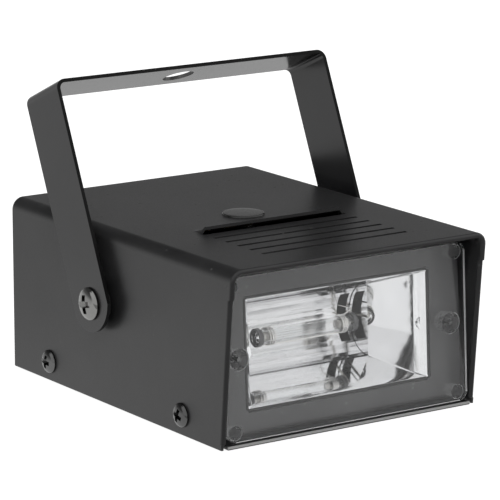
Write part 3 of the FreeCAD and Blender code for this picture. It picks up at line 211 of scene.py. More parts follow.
class Nodes:
    """Short way to lay out one node tree. A value is a socket to link, or a constant."""

    def __init__(self, tree):
        self.tree = tree

    def feed(self, target, value):
        if isinstance(value, bpy.types.NodeSocket):
            self.tree.links.new(value, target)
        else:
            target.default_value = value

    def add(self, kind, **settings):
        node = self.tree.nodes.new(kind)
        for key, value in settings.items():
            if hasattr(node, key):
                setattr(node, key, value)
            else:
                self.feed(node.inputs[key.replace("_", " ")], value)
        return node

    def link(self, source, target):
        self.tree.links.new(source, target)

    def group(self, name, **inputs):
        """Outputs of a shared effect."""
        return self.add("ShaderNodeGroup", node_tree=bpy.data.node_groups[name],
                        **inputs).outputs

    def math(self, operation, a, b=None):
        node = self.add("ShaderNodeMath", operation=operation)
        self.feed(node.inputs[0], a)
        if b is not None:
            self.feed(node.inputs[1], b)
        return node.outputs[0]

    def times(self, a, b):
        return self.math("MULTIPLY", a, b)

    def above(self, a, b):
        return self.math("GREATER_THAN", a, b)

    def below(self, a, b):
        return self.math("LESS_THAN", a, b)

    def mix(self, factor, a, b):
        """Mix of two colours; a plain number stands for a grey."""
        node = self.add("ShaderNodeMix", data_type="RGBA")
        self.feed(node.inputs[0], factor)
        for target, value in ((node.inputs[6], a), (node.inputs[7], b)):
            if isinstance(value, float):
                value = (value, value, value)
            self.feed(target, (*value, 1.0) if isinstance(value, tuple) else value)
        return node.outputs[2]

    def span(self, value, low, high, to_low=0.0, to_high=1.0):
        """Map a range of a value to another, clamped."""
        return self.add("ShaderNodeMapRange", Value=value, From_Min=low, From_Max=high,
                        To_Min=to_low, To_Max=to_high).outputs["Result"]

    def noise(self, vector, scale, detail=3.0, roughness=0.5):
        return self.add("ShaderNodeTexNoise", Vector=vector, Scale=scale, Detail=detail,
                        Roughness=roughness).outputs["Fac"]

    def axes(self, place=None):
        """X, Y and Z of a place, by default of the place on the material's own piece."""
        split = self.add("ShaderNodeSeparateXYZ", Vector=place or self.place)
        return [split.outputs[axis] for axis in "XYZ"]


def emptied(owner):
    """Node builder of a material or world, its first nodes cleared away."""
    owner.use_nodes = True
    owner.node_tree.nodes.clear()
    return Nodes(owner.node_tree)


def effect(name, inputs, outputs):
    """New shader node group; gives its tree builder, input sockets and output sockets."""
    tree = bpy.data.node_groups.new(name, "ShaderNodeTree")
    for title, kind, value in inputs:
        socket = tree.interface.new_socket(title, in_out="INPUT", socket_type="NodeSocket" + kind)
        if value is not None:
            socket.default_value = value
    for title, kind in outputs:
        tree.interface.new_socket(title, in_out="OUTPUT", socket_type="NodeSocket" + kind)
    n = Nodes(tree)
    return n, n.add("NodeGroupInput").outputs, n.add("NodeGroupOutput").inputs


# Sprayed or moulded surface: fine bumps, and slow changes of tone over it.
n, given, out = effect(
    "sprayed grain", [("Vector", "Vector", None), ("Grain", "Float", 900.0)],
    [("Height", "Float"), ("Tone", "Float"), ("Fine", "Float")])
coarse = n.noise(given["Vector"], given["Grain"], 3.0, 0.55)
fine = n.noise(given["Vector"], n.times(given["Grain"], 3.6), 2.0, 0.6)
n.link(n.math("ADD", n.times(coarse, 0.7), n.times(fine, 0.3)), out["Height"])
cloud = n.noise(given["Vector"], 28.0, 4.0, 0.6)
n.link(n.span(cloud, 0.36, 0.64), out["Tone"])
n.link(n.span(fine, 0.35, 0.65), out["Fine"])

# Sparse light specks of dust and lint lying on a surface.
n, given, out = effect(
    "dust specks", [("Vector", "Vector", None), ("Scale", "Float", 220.0), ("Size", "Float", 0.12)],
    [("Mask", "Float")])
cells = n.add("ShaderNodeTexVoronoi", Vector=given["Vector"], Scale=given["Scale"])
spot = n.below(cells.outputs["Distance"], given["Size"])
rare = n.above(n.noise(given["Vector"], 160.0, 1.0), 0.56)
n.link(n.times(spot, rare), out["Mask"])


def grained(name, dark, light, rough, spread=0.08, grain=900.0, bump=0.06, metallic=0.0,
            relief=0.00008, **principled):
    """Material with the sprayed grain, and the builder for laying more over it."""
    material = bpy.data.materials.new(name)
    n = emptied(material)
    n.shader = n.add("ShaderNodeBsdfPrincipled", Metallic=metallic, **principled)
    n.add("ShaderNodeOutputMaterial", Surface=n.shader.outputs["BSDF"])
    n.place = n.add("ShaderNodeTexCoord").outputs["Object"]
    spray = n.group("sprayed grain", Grain=grain, Vector=n.place)
    n.link(n.mix(spray["Tone"], dark, light), n.shader.inputs["Base Color"])
    n.link(n.span(spray["Fine"], 0.0, 1.0, rough - spread, rough + spread), n.shader.inputs["Roughness"])
    raised = n.add("ShaderNodeBump", Strength=bump, Distance=relief, Height=spray["Height"])
    n.link(raised.outputs["Normal"], n.shader.inputs["Normal"])
    return material, n


def over(n, socket, mask, value):
    """Lay a colour or number over what already feeds a shader's socket, by a mask."""
    before = n.shader.inputs[socket].links[0].from_socket
    if isinstance(value, tuple):
        after = n.mix(mask, before, value)
    else:
        after = n.math("ADD", before, n.times(mask, n.math("SUBTRACT", value, before)))
    n.link(after, n.shader.inputs[socket])


PAINT = dict(
    dark=(0.010, 0.010, 0.0105), light=(0.0155, 0.0155, 0.016), rough=0.36, spread=0.05, grain=850.0,
    bump=0.11)
cover_paint, n = grained("black cover paint", **PAINT)
x, y, z = n.axes()
on_top = n.span(z, (body_top - 3) * MM, (body_top - 0.2) * MM, 0.35, 1.0)
dusty = n.times(n.group("dust specks", Vector=n.place)["Mask"], on_top)
DUST = (0.20, 0.20, 0.195)
over(n, "Base Color", n.times(dusty, 0.35), DUST)
over(n, "Roughness", dusty, 0.8)


def round_bend(out, top, radius, steps):
    """Places and inward directions round the bend between a side and what crosses over."""
    return [(out - radius + x, top - radius + z, (-x / radius, -z / radius))
            for x, z in arc(radius, 0, 90, steps)]


def and_back(path):
    """A path up one side to the middle, followed by its mirror image."""
    return path + [(-x, z, (-i[0], i[1]), *rest) for x, z, i, *rest in reversed(path)]


def cover_ring(x, z, inward, hemmed, step):
    """Section of the cover's sheet from its front edge to its rear edge, at one place."""
    bend = sheet if hemmed else sheet / 2
    fold = [(bend - bend * sin(radians(a)),
             bend - bend * cos(radians(a))) for a in range(0, 181, 20)]
    fold += [(hem, 2 * bend), (hem, sheet)]
    points = []
    for depth, offset in fold:
        height = z + inward[1] * offset
        front_edge = front_foot - hood_lean * height
        points.append((x + inward[0] * offset, front_edge + depth + step, height))
    rows = [lip_edge + lip_depth * i / 7 for i in range(1, 8)] + [rear_edge]
    points += [(x + inward[0] * sheet, y, z + inward[1] * sheet) for y in rows]
    points += [(x, y, z) for y in reversed(rows)]
    return points


half_path = [(body_half, z, (-1, 0), hemmed, step) for z, hemmed, step in (
    (0.0, False, rim_step), (hem_foot, False, rim_step), (hem_foot, True, rim_step),
    (rim_foot, True, rim_step), (rim_foot, True, 0.0))]
half_path += [(*at, True, 0.0) for at in round_bend(body_half, body_top, cover_bend, 12)]
beside_louvre = [45.0, 36.0]
up_the_louvre = [slit_half - lip_end * i / 10 for i in range(1, 11)]
half_path += [(x, body_top, (0, -1), True, 0.0) for x in beside_louvre + up_the_louvre]
cover = skin([cover_ring(*at) for at in and_back(half_path)])
slits = [block((-slit_half, slit_rear - slit_pitch * i - slit_width / 2, body_top - 5),
               (slit_half, slit_rear - slit_pitch * i + slit_width / 2, body_top + 5))
         for i in range(slit_count)]


def drill(radius, half_length, at, direction, steps=48):
    """Cutter for a round hole, as far to both sides of a place as half_length."""
    return aimed(turned([(radius, -half_length), (radius, half_length)], steps), at, direction)


drills = [drill(plug_bore, 5.0, (0, plug_y, body_top), (0, 0, 1)),
          drill(pivot_bore, across_all, (0, pivot_y, pivot_z), (1, 0, 0))]
for y in (-cover_screw_y, cover_screw_y):
    drills.append(drill(cover_screw_bore, across_all, (0, y, cover_screw_z), (1, 0, 0), 24))
cover = worked(cover, ("DIFFERENCE", joined(slits + drills)))
for v in cover.verts:
    across = min((slit_half - abs(v.co.x)) / lip_end, 1.0)
    behind = (v.co.y - lip_edge) / lip_depth
    if v.co.z > body_top - 2 and across > 0 and -0.01 < behind < 1:
        v.co.z += lip_rise * across * (1 - max(behind, 0.0)) ** 1.4
cover = worked(cover, bevel=0.22, angle=50)
piece("painted_top_cover", cover, "housing", cover_paint, ["top_cover"])

# ------------ hole plug
# Glossy black nylon button snapped into the round hole in the top: a slightly domed
# face, a rounded rim and a hollow skirt below the sheet.
plastic_black, _ = grained(
    "black nylon", dark=0.012, light=0.018, rough=0.20, spread=0.04, grain=1400.0, bump=0.05)
rim = [(7.9 + 0.6 * x, 0.15 + 0.6 * z) for x, z in arc(1.0, 0, 80, 6)]
plug = turned([(0, -4.2), (5.7, -4.2), (6.9, -4.2), (6.9, 0), (8.5, 0)] + rim
              + [(6.5, 0.77), (4.5, 0.785), (2.0, 0.8), (0, 0.8)], 64)
well = turned([(5.7, -5), (5.7, -0.2)], 64)
plug = worked(plug, ("DIFFERENCE", well))
piece("hole_plug_button", aimed(plug, (0, plug_y, body_top), (0, 0, 1)), "housing",
      plastic_black, ["hole_plug"])

# ------------ mounting yoke
# Strip of 1.5 mm steel, 25.6 mm wide, bent square into a U, its ends rounded under the
# pivots and a 13 mm hole punched in the crossbar. Its paint is glossier than the cover's,
# and worn where a hanging bolt's washer has turned.
yoke_sheet = 1.5
yoke_out = 64.9
yoke_reach = 88.0
yoke_half = 12.8
yoke_bend = 4.0
yoke_lean = 24.0
bolt_bore, arm_bore = 6.5, 3.08
shoulder, tongue = -3.0, -11.3
end_radius = (yoke_half ** 2 + (shoulder - tongue) ** 2) / (2 * (shoulder - tongue))
end_centre = tongue + end_radius


def yoke_ring(x, z, inward, half):
    inner = (x + inward[0] * yoke_sheet, z + inward[1] * yoke_sheet)
    return [(x, -half, z), (x, half, z), (inner[0], half, inner[1]), (inner[0], -half, inner[1])]


steps = 16
low_turn = degrees(asin((end_centre - shoulder) / end_radius))
tongue_points = []
for i in range(steps):
    a = radians(90 - (90 - low_turn) * i / steps)
    tongue_points.append((end_centre - end_radius * sin(a), max(end_radius * cos(a), 0.05)))
arm = [(yoke_out, z, (-1, 0), half) for z, half in tongue_points + [(shoulder, yoke_half)]]
arm += [(*at, yoke_half) for at in round_bend(yoke_out, yoke_reach, yoke_bend, 10)]
yoke = skin([yoke_ring(*at) for at in and_back(arm)])
bores = [drill(bolt_bore, 25.0, (0, 0, yoke_reach - 3), (0, 0, 1), 64),
         drill(arm_bore, across_all, (0, 0, 0), (1, 0, 0), 32)]
yoke = worked(yoke, ("DIFFERENCE", joined(bores)), bevel=0.22, angle=45)
lean = Matrix.Translation((0, pivot_y, pivot_z)) @ Matrix.Rotation(radians(-yoke_lean), 4, "X")
yoke.transform(lean)
yoke_paint, n = grained("black yoke paint", **dict(
    PAINT, dark=(0.007, 0.007, 0.0075), light=(0.011, 0.011, 0.0115), rough=0.22,
    spread=0.03, bump=0.06))
on_yoke = n.add(
    "ShaderNodeMapping", vector_type="TEXTURE", Location=(0, pivot_y * MM, pivot_z * MM),
    Rotation=(radians(-yoke_lean), 0, 0), Vector=n.place)
x, y, z = n.axes(on_yoke.outputs["Vector"])
from_hole = n.math("SQRT", n.math("ADD", n.times(x, x), n.times(y, y)))
from_hole = n.times(from_hole, 1 / MM)
crossbar = n.above(z, (yoke_reach - 8) * MM)
washer = n.times(n.span(from_hole, 6.4, 6.9), n.span(from_hole, 11.6, 10.6))
washer = n.times(washer, n.span(n.noise(n.place, 700.0, 4.0, 0.7), 0.56, 0.66))
rim = n.times(n.span(from_hole, 6.9, 6.55), n.span(n.noise(n.place, 400.0, 2.0), 0.42, 0.58))
worn = n.times(n.math("MAXIMUM", n.times(washer, 0.12), n.times(rim, 0.2)), crossbar)
over(n, "Base Color", worn, (0.30, 0.295, 0.29))
over(n, "Roughness", worn, 0.33)
sheared, _ = grained(
    "paint on sheared edges", dark=0.003, light=0.006, rough=0.55, grain=1600.0, bump=0.12,
    Specular_IOR_Level=0.12)
upright = lean.inverted()


def on_sheared_edge(centre):
    """The strip's cut edges, where the paint lies thin and dull."""
    return abs((upright @ centre).y) > yoke_half - 0.03


piece("steel_mounting_yoke", yoke, "yoke", yoke_paint, ["mounting_yoke"],
      partly=[(sheared, on_sheared_edge)])

# ------------ pivot and cover screws
# Pan-head steel screws with a cross recess: two large zinc-plated ones that the yoke turns
# on, and four tapping screws in black zinc along the lower edges of the cover.
zinc, _ = grained(
    "zinc plate", dark=(0.21, 0.21, 0.205), light=(0.30, 0.30, 0.295), rough=0.11, spread=0.03,
    grain=2600.0, bump=0.08, metallic=1.0)
black_zinc, _ = grained(
    "black zinc plate", dark=0.09, light=0.15, rough=0.17, spread=0.05, grain=2600.0, bump=0.08,
    metallic=1.0)


def pan_screw(head, height, shank, length):
    """Pan-head screw on +Z, seat at z = 0, its shank threaded down to a blunt tip."""
    radius, crest = head / 2, shank / 2
    tip, root, recess = crest * 0.6, crest * 0.86, 0.8
    straight = 0.16 * height
    dome = [(radius * x, straight + (height - straight) * z) for x, z in arc(1.0, 4, 87, 12)]
    profile = [(0, -length), (tip, -length), (crest, -length + crest)]
    turns = int((length - crest) / (0.2 * shank))
    pitch = (length - crest) / turns
    for i in range(turns):
        z = -length + crest + pitch * i
        profile += [(crest, z + 0.1 * pitch), (root, z + 0.5 * pitch), (crest, z + 0.9 * pitch)]
    profile += [(crest, 0), (radius * 0.96, 0), (radius, 0.04 * head)] + dome + [(0, height)]
    screw = turned(profile, 64)
    arm, slot, floor = head * 0.36, head * 0.10, height * (1 - recess)
    wings = []
    for turn in (0, 90):
        wing = block((-arm, -slot, floor), (arm, slot, height + 1))
        for v in wing.verts:
            if v.co.z < height:
                v.co.x *= 0.5
                v.co.y *= 0.7
        wings.append(aimed(wing, (0, 0, 0), (0, 0, 1), turn))
    cross = worked(wings[0], ("UNION", wings[1]))
    return worked(screw, ("DIFFERENCE", cross), bevel=0.06 * shank / 4, angle=50, segments=1)


# Tree that sets one finished shape at every point, aimed by the direction the point carries.
setting = bpy.data.node_groups.new("set at places", "GeometryNodeTree")
for title, kind in (("Places", "Geometry"), ("Shape", "Object"),
                    ("Turn", "Float"), ("Seed", "Int"),
                    ("Finish", "Material")):
    setting.interface.new_socket(title, in_out="INPUT", socket_type="NodeSocket" + kind)
setting.interface.new_socket("Pieces", in_out="OUTPUT", socket_type="NodeSocketGeometry")
n = Nodes(setting)
given = n.add("NodeGroupInput").outputs
shape = n.add("GeometryNodeObjectInfo", Object=given["Shape"])
toward = n.add("GeometryNodeInputNamedAttribute", data_type="FLOAT_VECTOR", Name="aim")
aim = n.add("FunctionNodeAlignRotationToVector", axis="Z", Vector=toward.outputs[0])
put = n.add(
    "GeometryNodeInstanceOnPoints", Points=given["Places"], Instance=shape.outputs["Geometry"],
    Rotation=aim.outputs[0])
chance = n.add("FunctionNodeRandomValue", data_type="FLOAT", Seed=given["Seed"])
n.feed(chance.inputs[2], 0.0)
n.feed(chance.inputs[3], given["Turn"])
about = n.add("ShaderNodeCombineXYZ", Z=chance.outputs[1])
spun = n.add(
    "GeometryNodeRotateInstances", Instances=put.outputs["Instances"], Rotation=about.outputs[0])
real = n.add("GeometryNodeRealizeInstances", Geometry=spun.outputs["Instances"])
finish = n.add("GeometryNodeSetMaterial", Geometry=real.outputs["Geometry"], Material=given["Finish"])
n.add("NodeGroupOutput", Pieces=finish.outputs["Geometry"])


def set_at(name, shape, places, body, material, replaces, turn=0.0, seed=0, smooth=32):
    """Put copies of a shape at (point, direction) places and finish them as one piece."""
    source = stock(shape)
    holder = stock(bmesh.new())
    holder.data.from_pydata([p for p, _ in places], [], [])
    aims = holder.data.attributes.new("aim", "FLOAT_VECTOR", "POINT")
    for i, (_, direction) in enumerate(places):
        aims.data[i].vector = direction
    change = holder.modifiers.new("set", "NODES")
    change.node_group = setting
    for title, value in (("Shape", source), ("Turn", turn), ("Seed", seed),
                         ("Finish", material)):
        change[setting.interface.items_tree[title].identifier] = value
    return piece(name, evaluated(holder, source), body, material, replaces, smooth)


sides = [(1, 0, 0), (-1, 0, 0)]
pivot_seat = yoke_out + 0.05
set_at(
    "pivot_screws_set", pan_screw(13.2, 3.0, 6.0, 17.0),
    [((d[0] * pivot_seat, pivot_y, pivot_z), d) for d in sides], "housing", zinc,
    ["pivot_screws"], turn=1.2, seed=4)
set_at("cover_screws_set", pan_screw(9.6, 2.4, 4.0, 9.5),
       [((d[0] * body_half, y, cover_screw_z), d) for d in sides
        for y in (-cover_screw_y, cover_screw_y)], "housing", black_zinc,
       ["cover_screws"], turn=1.5, seed=11)

# ------------ pivot spacers
# Rubber washers, 16 mm across, between the yoke's arms and the cover. Their friction
# holds the yoke at the angle it is put at.
rubber, _ = grained(
    "black rubber", dark=0.013, light=(0.022, 0.022, 0.021), rough=0.72, grain=2200.0, bump=0.14)
spacer = turned(
    [(3.25, 0), (7.7, 0), (8.0, 0.3), (8.0, 3.05), (7.7, 3.35), (3.25, 3.35)], 56, closed=True)
set_at(
    "rubber_pivot_spacers", spacer, [((d[0] * body_half, pivot_y, pivot_z), d) for d in sides],
    "housing", rubber, ["pivot_spacers"])

# ------------ clear window
# Injection-moulded clear acrylic cover, 2 mm thick, standing 5.5 mm ahead of the panel
# on four corner posts; two screws from behind pull it in by the side bosses.
lean_angle = 3.15
panel_foot_y = -68.2
base_sheet = 1.2
window_half_w, window_half_h = 57.0, 31.6
lamp_h = 31.9
window_gap, window_thick = 5.5, 2.0
post_x, post_h, boss_x = 52.7, 28.0, 50.1


def leaned(shape):
    """From the lamp's own frame, panel's front face at y = 0, to its place in the box."""
    shape.transform(Matrix.Translation((0, panel_foot_y, base_sheet))
                    @ Matrix.Rotation(radians(-lean_angle), 4, "X"))
    return shape


def rectangle(half_w, half_h, radius, y, steps=6):
    """Ring of points of a round-cornered rectangle about the lamp's axis."""
    ring = []
    for sx, sz, start in ((1, 1, 0), (-1, 1, 90), (-1, -1, 180), (1, -1, 270)):
        for x, z in arc(radius, start, start + 90, steps):
            ring.append((sx * (half_w - radius) + x, y, lamp_h + sz * (half_h - radius) + z))
    return ring


def rod(radius, start, end):
    """Profile of a plain round bar."""
    return [(0, start), (radius, start), (radius, end), (0, end)]


def studs(profile, steps, x, h=0.0, y=0.0, toward=1):
    """Turned shapes along the lamp's axis, x to both sides of it, and h above and below."""
    return [aimed(turned(profile, steps), (side * x, y, lamp_h + level), (0, toward, 0))
            for side in (-1, 1) for level in ((-h, h) if h else (0.0,))]


def along_lamp(outline, start, end):
    """Bar from one x to another; its outline is of (depth, height from the lamp's axis)."""
    return skin([[(x, y, lamp_h + z) for y, z in outline] for x in (start, end)])


def window_ring(inset, y):
    return rectangle(window_half_w - inset, window_half_h - inset, 4.0 - inset, y, 8)


front = -window_gap - window_thick
window = skin([window_ring(0.45, front), window_ring(0.13, front + 0.13),
               window_ring(0.0, front + 0.45), window_ring(0.0, -window_gap - 0.15),
               window_ring(0.15, -window_gap)])
post = [(0, -0.5), (3.05, -0.5), (3.05, 0), (2.8, 0.25), (2.7, 5.1), (2.5, 5.5), (0, 5.5)]
boss = [(0, -0.5), (4.5, -0.5), (4.5, 0), (4.2, 0.25), (4.1, 5.2), (3.9, 5.5), (0, 5.5)]
pilot = [(0, 0), (1.3, 0), (1.3, 4.0), (0.9, 6.0), (0, 6.2)]
supports = studs(post, 32, post_x, post_h, -window_gap) + studs(boss, 40, boss_x, y=-window_gap)
pilots = studs(pilot, 24, boss_x, y=0.02, toward=-1)
window = worked(window, ("UNION", joined(supports)), ("DIFFERENCE", joined(pilots)))


def see_through(name, **settings):
    """Clear plastic or glass, which lets the light's shadow rays pass."""
    material, n = grained(name, **settings)
    output = n.shader.outputs["BSDF"].links[0].to_node
    mixed = n.add("ShaderNodeMixShader")
    n.link(n.add("ShaderNodeLightPath").outputs["Is Shadow Ray"], mixed.inputs[0])
    n.link(n.shader.outputs["BSDF"], mixed.inputs[1])
    n.link(n.add("ShaderNodeBsdfTransparent").outputs[0], mixed.inputs[2])
    n.link(mixed.outputs[0], output.inputs["Surface"])
    return material


clear = see_through(
    "clear acrylic", dark=(0.97, 0.975, 0.98), light=(0.985, 0.99, 0.99), rough=0.012, spread=0.008,
    grain=300.0, bump=0.004, Transmission_Weight=1.0, IOR=1.49)
matt_clear = see_through(
    "unpolished acrylic", dark=(0.93, 0.935, 0.94), light=(0.97, 0.975, 0.98), rough=0.45, grain=1200.0,
    bump=0.10, Transmission_Weight=0.90, IOR=1.49)
sawn_edge = see_through(
    "frosted acrylic edge", dark=(0.90, 0.905, 0.91), light=(0.96, 0.965, 0.97), rough=0.45,
    grain=1200.0, bump=0.10, Transmission_Weight=0.50, IOR=1.49)
moulded_clear = see_through(
    "clear moulded post", dark=(0.96, 0.965, 0.97), light=0.99, rough=0.05, spread=0.02, grain=1200.0,
    bump=0.02, Transmission_Weight=0.96, IOR=1.07)


def lamp_place(centre):
    """Place in the lamp's own frame: across, height from its axis, depth behind the panel."""
    own = Matrix.Rotation(radians(lean_angle), 4, "X") @ (
        centre - Vector((0, panel_foot_y, base_sheet)))
    return abs(own.x), abs(own.z - lamp_h), own.y


def on_edge(centre):
    x, h, _ = lamp_place(centre)
    return x > window_half_w - 0.14 or h > window_half_h - 0.14


def on_fillet(centre):
    return -window_gap + 0.02 < lamp_place(centre)[2] < -window_gap + 0.24


def on_post(centre):
    return lamp_place(centre)[2] > -window_gap + 0.26


piece(
    "clear_window_cover", leaned(window), "housing", clear, ["clear_window"],
    partly=[(sawn_edge, on_edge), (matt_clear, on_fillet), (moulded_clear, on_post)])

# ------------ reflector bezel
# Vacuum-metallised moulding: four flares from the mouth in the panel to the throat, two
# cheeks that close the trough's ends, a flange behind the panel, two screw ears and two
# long posts for the lamp's board.
stake_x, stake_h = 27.1, 17.36
throat_w, throat_half, throat_depth = 29.9, 14.6, 22.0
bright, _ = grained(
    "vacuum-metallised plastic", dark=(0.88, 0.88, 0.885), light=(0.93, 0.93, 0.935), rough=0.06,
    spread=0.02, grain=90.0, bump=0.05, metallic=1.0, relief=0.0004)
moulding, _ = grained(
    "black moulding", dark=0.012, light=0.020, rough=0.42, spread=0.06, grain=1300.0, bump=0.08)
rings = [rectangle(w, h, r, y) for w, h, r, y in (
    (throat_w, throat_half, 0.5, throat_depth), (38.9, 19.8, 0.6, 4.2), (40.5, 20.35, 0.7, 2.2),
    (42.3, 21.0, 0.7, 0.5), (42.5, 21.2, 0.8, 0.25), (42.75, 21.45, 1.0, 0.0),
    (43.4, 22.1, 1.2, 0.0), (43.7, 22.4, 1.4, 0.3), (43.7, 22.4, 1.4, 1.2), (46.1, 24.8, 2.0, 1.2),
    (46.1, 24.8, 2.0, 2.7), (42.9, 21.6, 1.4, 2.7), (31.1, 15.8, 1.4, 20.6),
    (36.3, 21.0, 1.4, 20.6), (36.3, 21.0, 1.4, throat_depth))]
bezel = skin(rings, closed=True)
board_x, board_depth = 43.0, 46.5
ears = studs(rod(5, 1.2, 2.7), 32, boss_x)
board_posts = studs(rod(3.5, 2.0, board_depth), 32, board_x)
stake = [(0, 21.5), (1.0, 21.5), (1.0, 22.6), (1.8, 22.62), (1.9, 22.9), (1.3, 23.4), (0, 23.4)]
stakes = studs(stake, 20, stake_x, stake_h)
ear_holes = studs(rod(1.6, 0, 4), 24, boss_x)
cheek = [(21.9, -14.4), (22.6, -14.4)]
cheek += [(22.5 + 11.5 * cos(a), 14.2 * sin(a))
          for a in (pi * i / 24 - pi / 2 for i in range(1, 24))]
cheek += [(22.6, 14.4), (21.9, 14.4)]
cheeks = [along_lamp(cheek, s * throat_w, s * (throat_w + 1)) for s in (-1, 1)]
added = [("UNION", joined(shapes)) for shapes in (ears, board_posts, stakes, cheeks)]
bezel = leaned(worked(bezel, *added, ("DIFFERENCE", joined(ear_holes))))


def unmetallised(centre):
    """The rim in the panel's opening is left as it was moulded."""
    x, h, depth = lamp_place(centre)
    return depth < 0.35 and (x > 42.6 or h > 21.3)


piece("metallised_reflector_bezel", bezel, "housing", bright,
      ["reflector_bezel"], smooth=25, partly=[(moulding, unmetallised)])

# ------------ reflector trough
# Polished aluminium sheet folded into narrow flats along half an ellipse, staked to the
# back of the bezel, with a slot at each end for the tube's leads.
trough_metal, n = grained(
    "polished sheet", dark=(0.86, 0.86, 0.865), light=(0.93, 0.93, 0.935), rough=0.11, spread=0.03,
    grain=500.0, bump=0.04, metallic=1.0)
rolled = n.add("ShaderNodeMapping", Scale=(0.03, 1.0, 1.0), Vector=n.place)
lines = n.noise(rolled.outputs["Vector"], 2600.0, 3.0, 0.6)
over(n, "Roughness", n.span(lines, 0.45, 0.75), 0.26)
over(n, "Base Color", n.span(lines, 0.55, 0.8), (0.58, 0.58, 0.59))
trough_half, trough_depth, trough_sheet, trough_flange = 35.1, 12.4, 0.6, 4.6
slot_x, slot_half_w, slot_half_h = 26.1, 2.3, 9.5
flats = 20
line = [(throat_depth, -throat_half - trough_flange)]
for i in range(flats + 1):
    a = pi * i / flats
    line.append((throat_depth + trough_depth * sin(a), -throat_half * cos(a)))
line.append((throat_depth, throat_half + trough_flange))
section = []
for i, (y, z) in enumerate(line):
    before = Vector(line[i]) - Vector(line[i - 1]) if i else Vector(line[1]) - Vector(line[0])
    after = Vector(line[i + 1]) - Vector(line[i]) if i < len(line) - 1 else before
    across = (Vector((before.y, -before.x)).normalized()
              + Vector((after.y, -after.x)).normalized()).normalized()
    reach = trough_sheet / max(across.dot(Vector((after.y, -after.x)).normalized()), 0.5)
    section.append(((y, z), (y + across.x * reach, z + across.y * reach)))
loop = [inner for inner, _ in section] + [outer for _, outer in reversed(section)]
trough = along_lamp(loop, -trough_half, trough_half)
slots = [block((x - slot_half_w, throat_depth + 2.0, lamp_h - slot_half_h),
               (x + slot_half_w, 60, lamp_h + slot_half_h)) for x in (-slot_x, slot_x)]
stake_holes = studs(rod(1.2, 20, 40), 20, stake_x, stake_h)
trough = worked(trough, ("DIFFERENCE", joined(slots + stake_holes)))
piece("folded_reflector_trough", leaned(trough), "housing", trough_metal,
      ["reflector_trough"], smooth=4)

# ------------ flash tube
# Straight tube of borosilicate glass, 6 mm across, filled with xenon, its ends melted
# down on to the two lead pins.
tube_y = 22.7
tube_half = 23.6
glass = see_through(
    "borosilicate glass", dark=(0.98, 0.985, 0.985), light=(0.99, 0.995, 0.995), rough=0.012,
    spread=0.008, grain=200.0, bump=0.01, Transmission_Weight=1.0, IOR=1.47)
melt = tube_half - 2.5
outside_end = [(2.0 + x, tube_half - 1.0 + z) for x, z in arc(1.0, 90, 0, 6)]
inside_end = [(1.2 + x, melt - 1.3 + z) for x, z in arc(1.0, 0, 80, 6)]
profile = [(0.53, tube_half)] + outside_end
profile += [(r, -z) for r, z in reversed(outside_end)] + [(0.53, -tube_half), (0.53, -melt)]
profile += [(r, -z) for r, z in reversed(inside_end)] + inside_end + [(0.53, melt)]
tube = turned(profile, 48, closed=True)
piece("xenon_flash_tube", leaned(aimed(tube, (0, tube_y, lamp_h), (1, 0, 0))), "housing",
      glass, ["flash_tube"], smooth=50)

# ------------ tube's end rings
# Two grey silicone rings, 7.4 mm across, pushed on the ends of the tube, where their own
# stretch holds them.
silicone, _ = grained(
    "grey silicone", dark=(0.12, 0.12, 0.122), light=(0.16, 0.16, 0.163), rough=0.42, spread=0.06,
    grain=1500.0, bump=0.10)
ring_profile = [(3.05, 0), (3.5, 0), (3.7, 0.2), (3.7, 1.8), (3.5, 2.0), (3.05, 2.0)]
end_rings = joined([aimed(turned(ring_profile, 48, closed=True),
                          (s * (tube_half - 2.0), tube_y, lamp_h), (s, 0, 0))
                    for s in (1, -1)])
piece("silicone_end_rings", leaned(end_rings), "housing", silicone, ["tube_end_rings"])

# ------------ electrodes and wires
# Nickel electrodes on pins that bend back through the lamp's board; round the tube a fine
# trigger wire, about three turns at each end and one run along it.
nickel, _ = grained(
    "nickel", dark=(0.55, 0.53, 0.50), light=(0.68, 0.66, 0.62), rough=0.30, spread=0.06, grain=2400.0,
    bump=0.08, metallic=1.0)


def drawn_wire(points, radius, sides=14):
    """bmesh of round wire along points."""
    path = [Vector(p) for p in points]
    runs = [(b - a).normalized() for a, b in zip(path, path[1:])]
    up = runs[0].orthogonal().normalized()
    rings = []
    for i, at in enumerate(path):
        ahead = (runs[max(i - 1, 0)] + runs[min(i, len(runs) - 1)]).normalized()
        up = (up - ahead * up.dot(ahead)).normalized()
        side = ahead.cross(up)
        rings.append([at + (up * cos(a) + side * sin(a)) * radius
                      for a in (2 * pi * k / sides for k in range(sides))])
    return skin(rings)


def rounded_path(points, bend, steps=6):
    """Corner points of a route replaced by arcs."""
    route = [Vector(p) for p in points]
    path = [route[0]]
    for a, b, c in zip(route, route[1:], route[2:]):
        arriving, leaving = (b - a).normalized(), (c - b).normalized()
        half = arriving.angle(leaving) / 2
        tangent = bend * tan(half)
        first, last = b - arriving * tangent, b + leaving * tangent
        centre = b + (leaving - arriving).normalized() * (bend / cos(half))
        for i in range(steps + 1):
            path.append(centre + (first - centre).slerp(last - centre, i / steps))
    return path + [route[-1]]


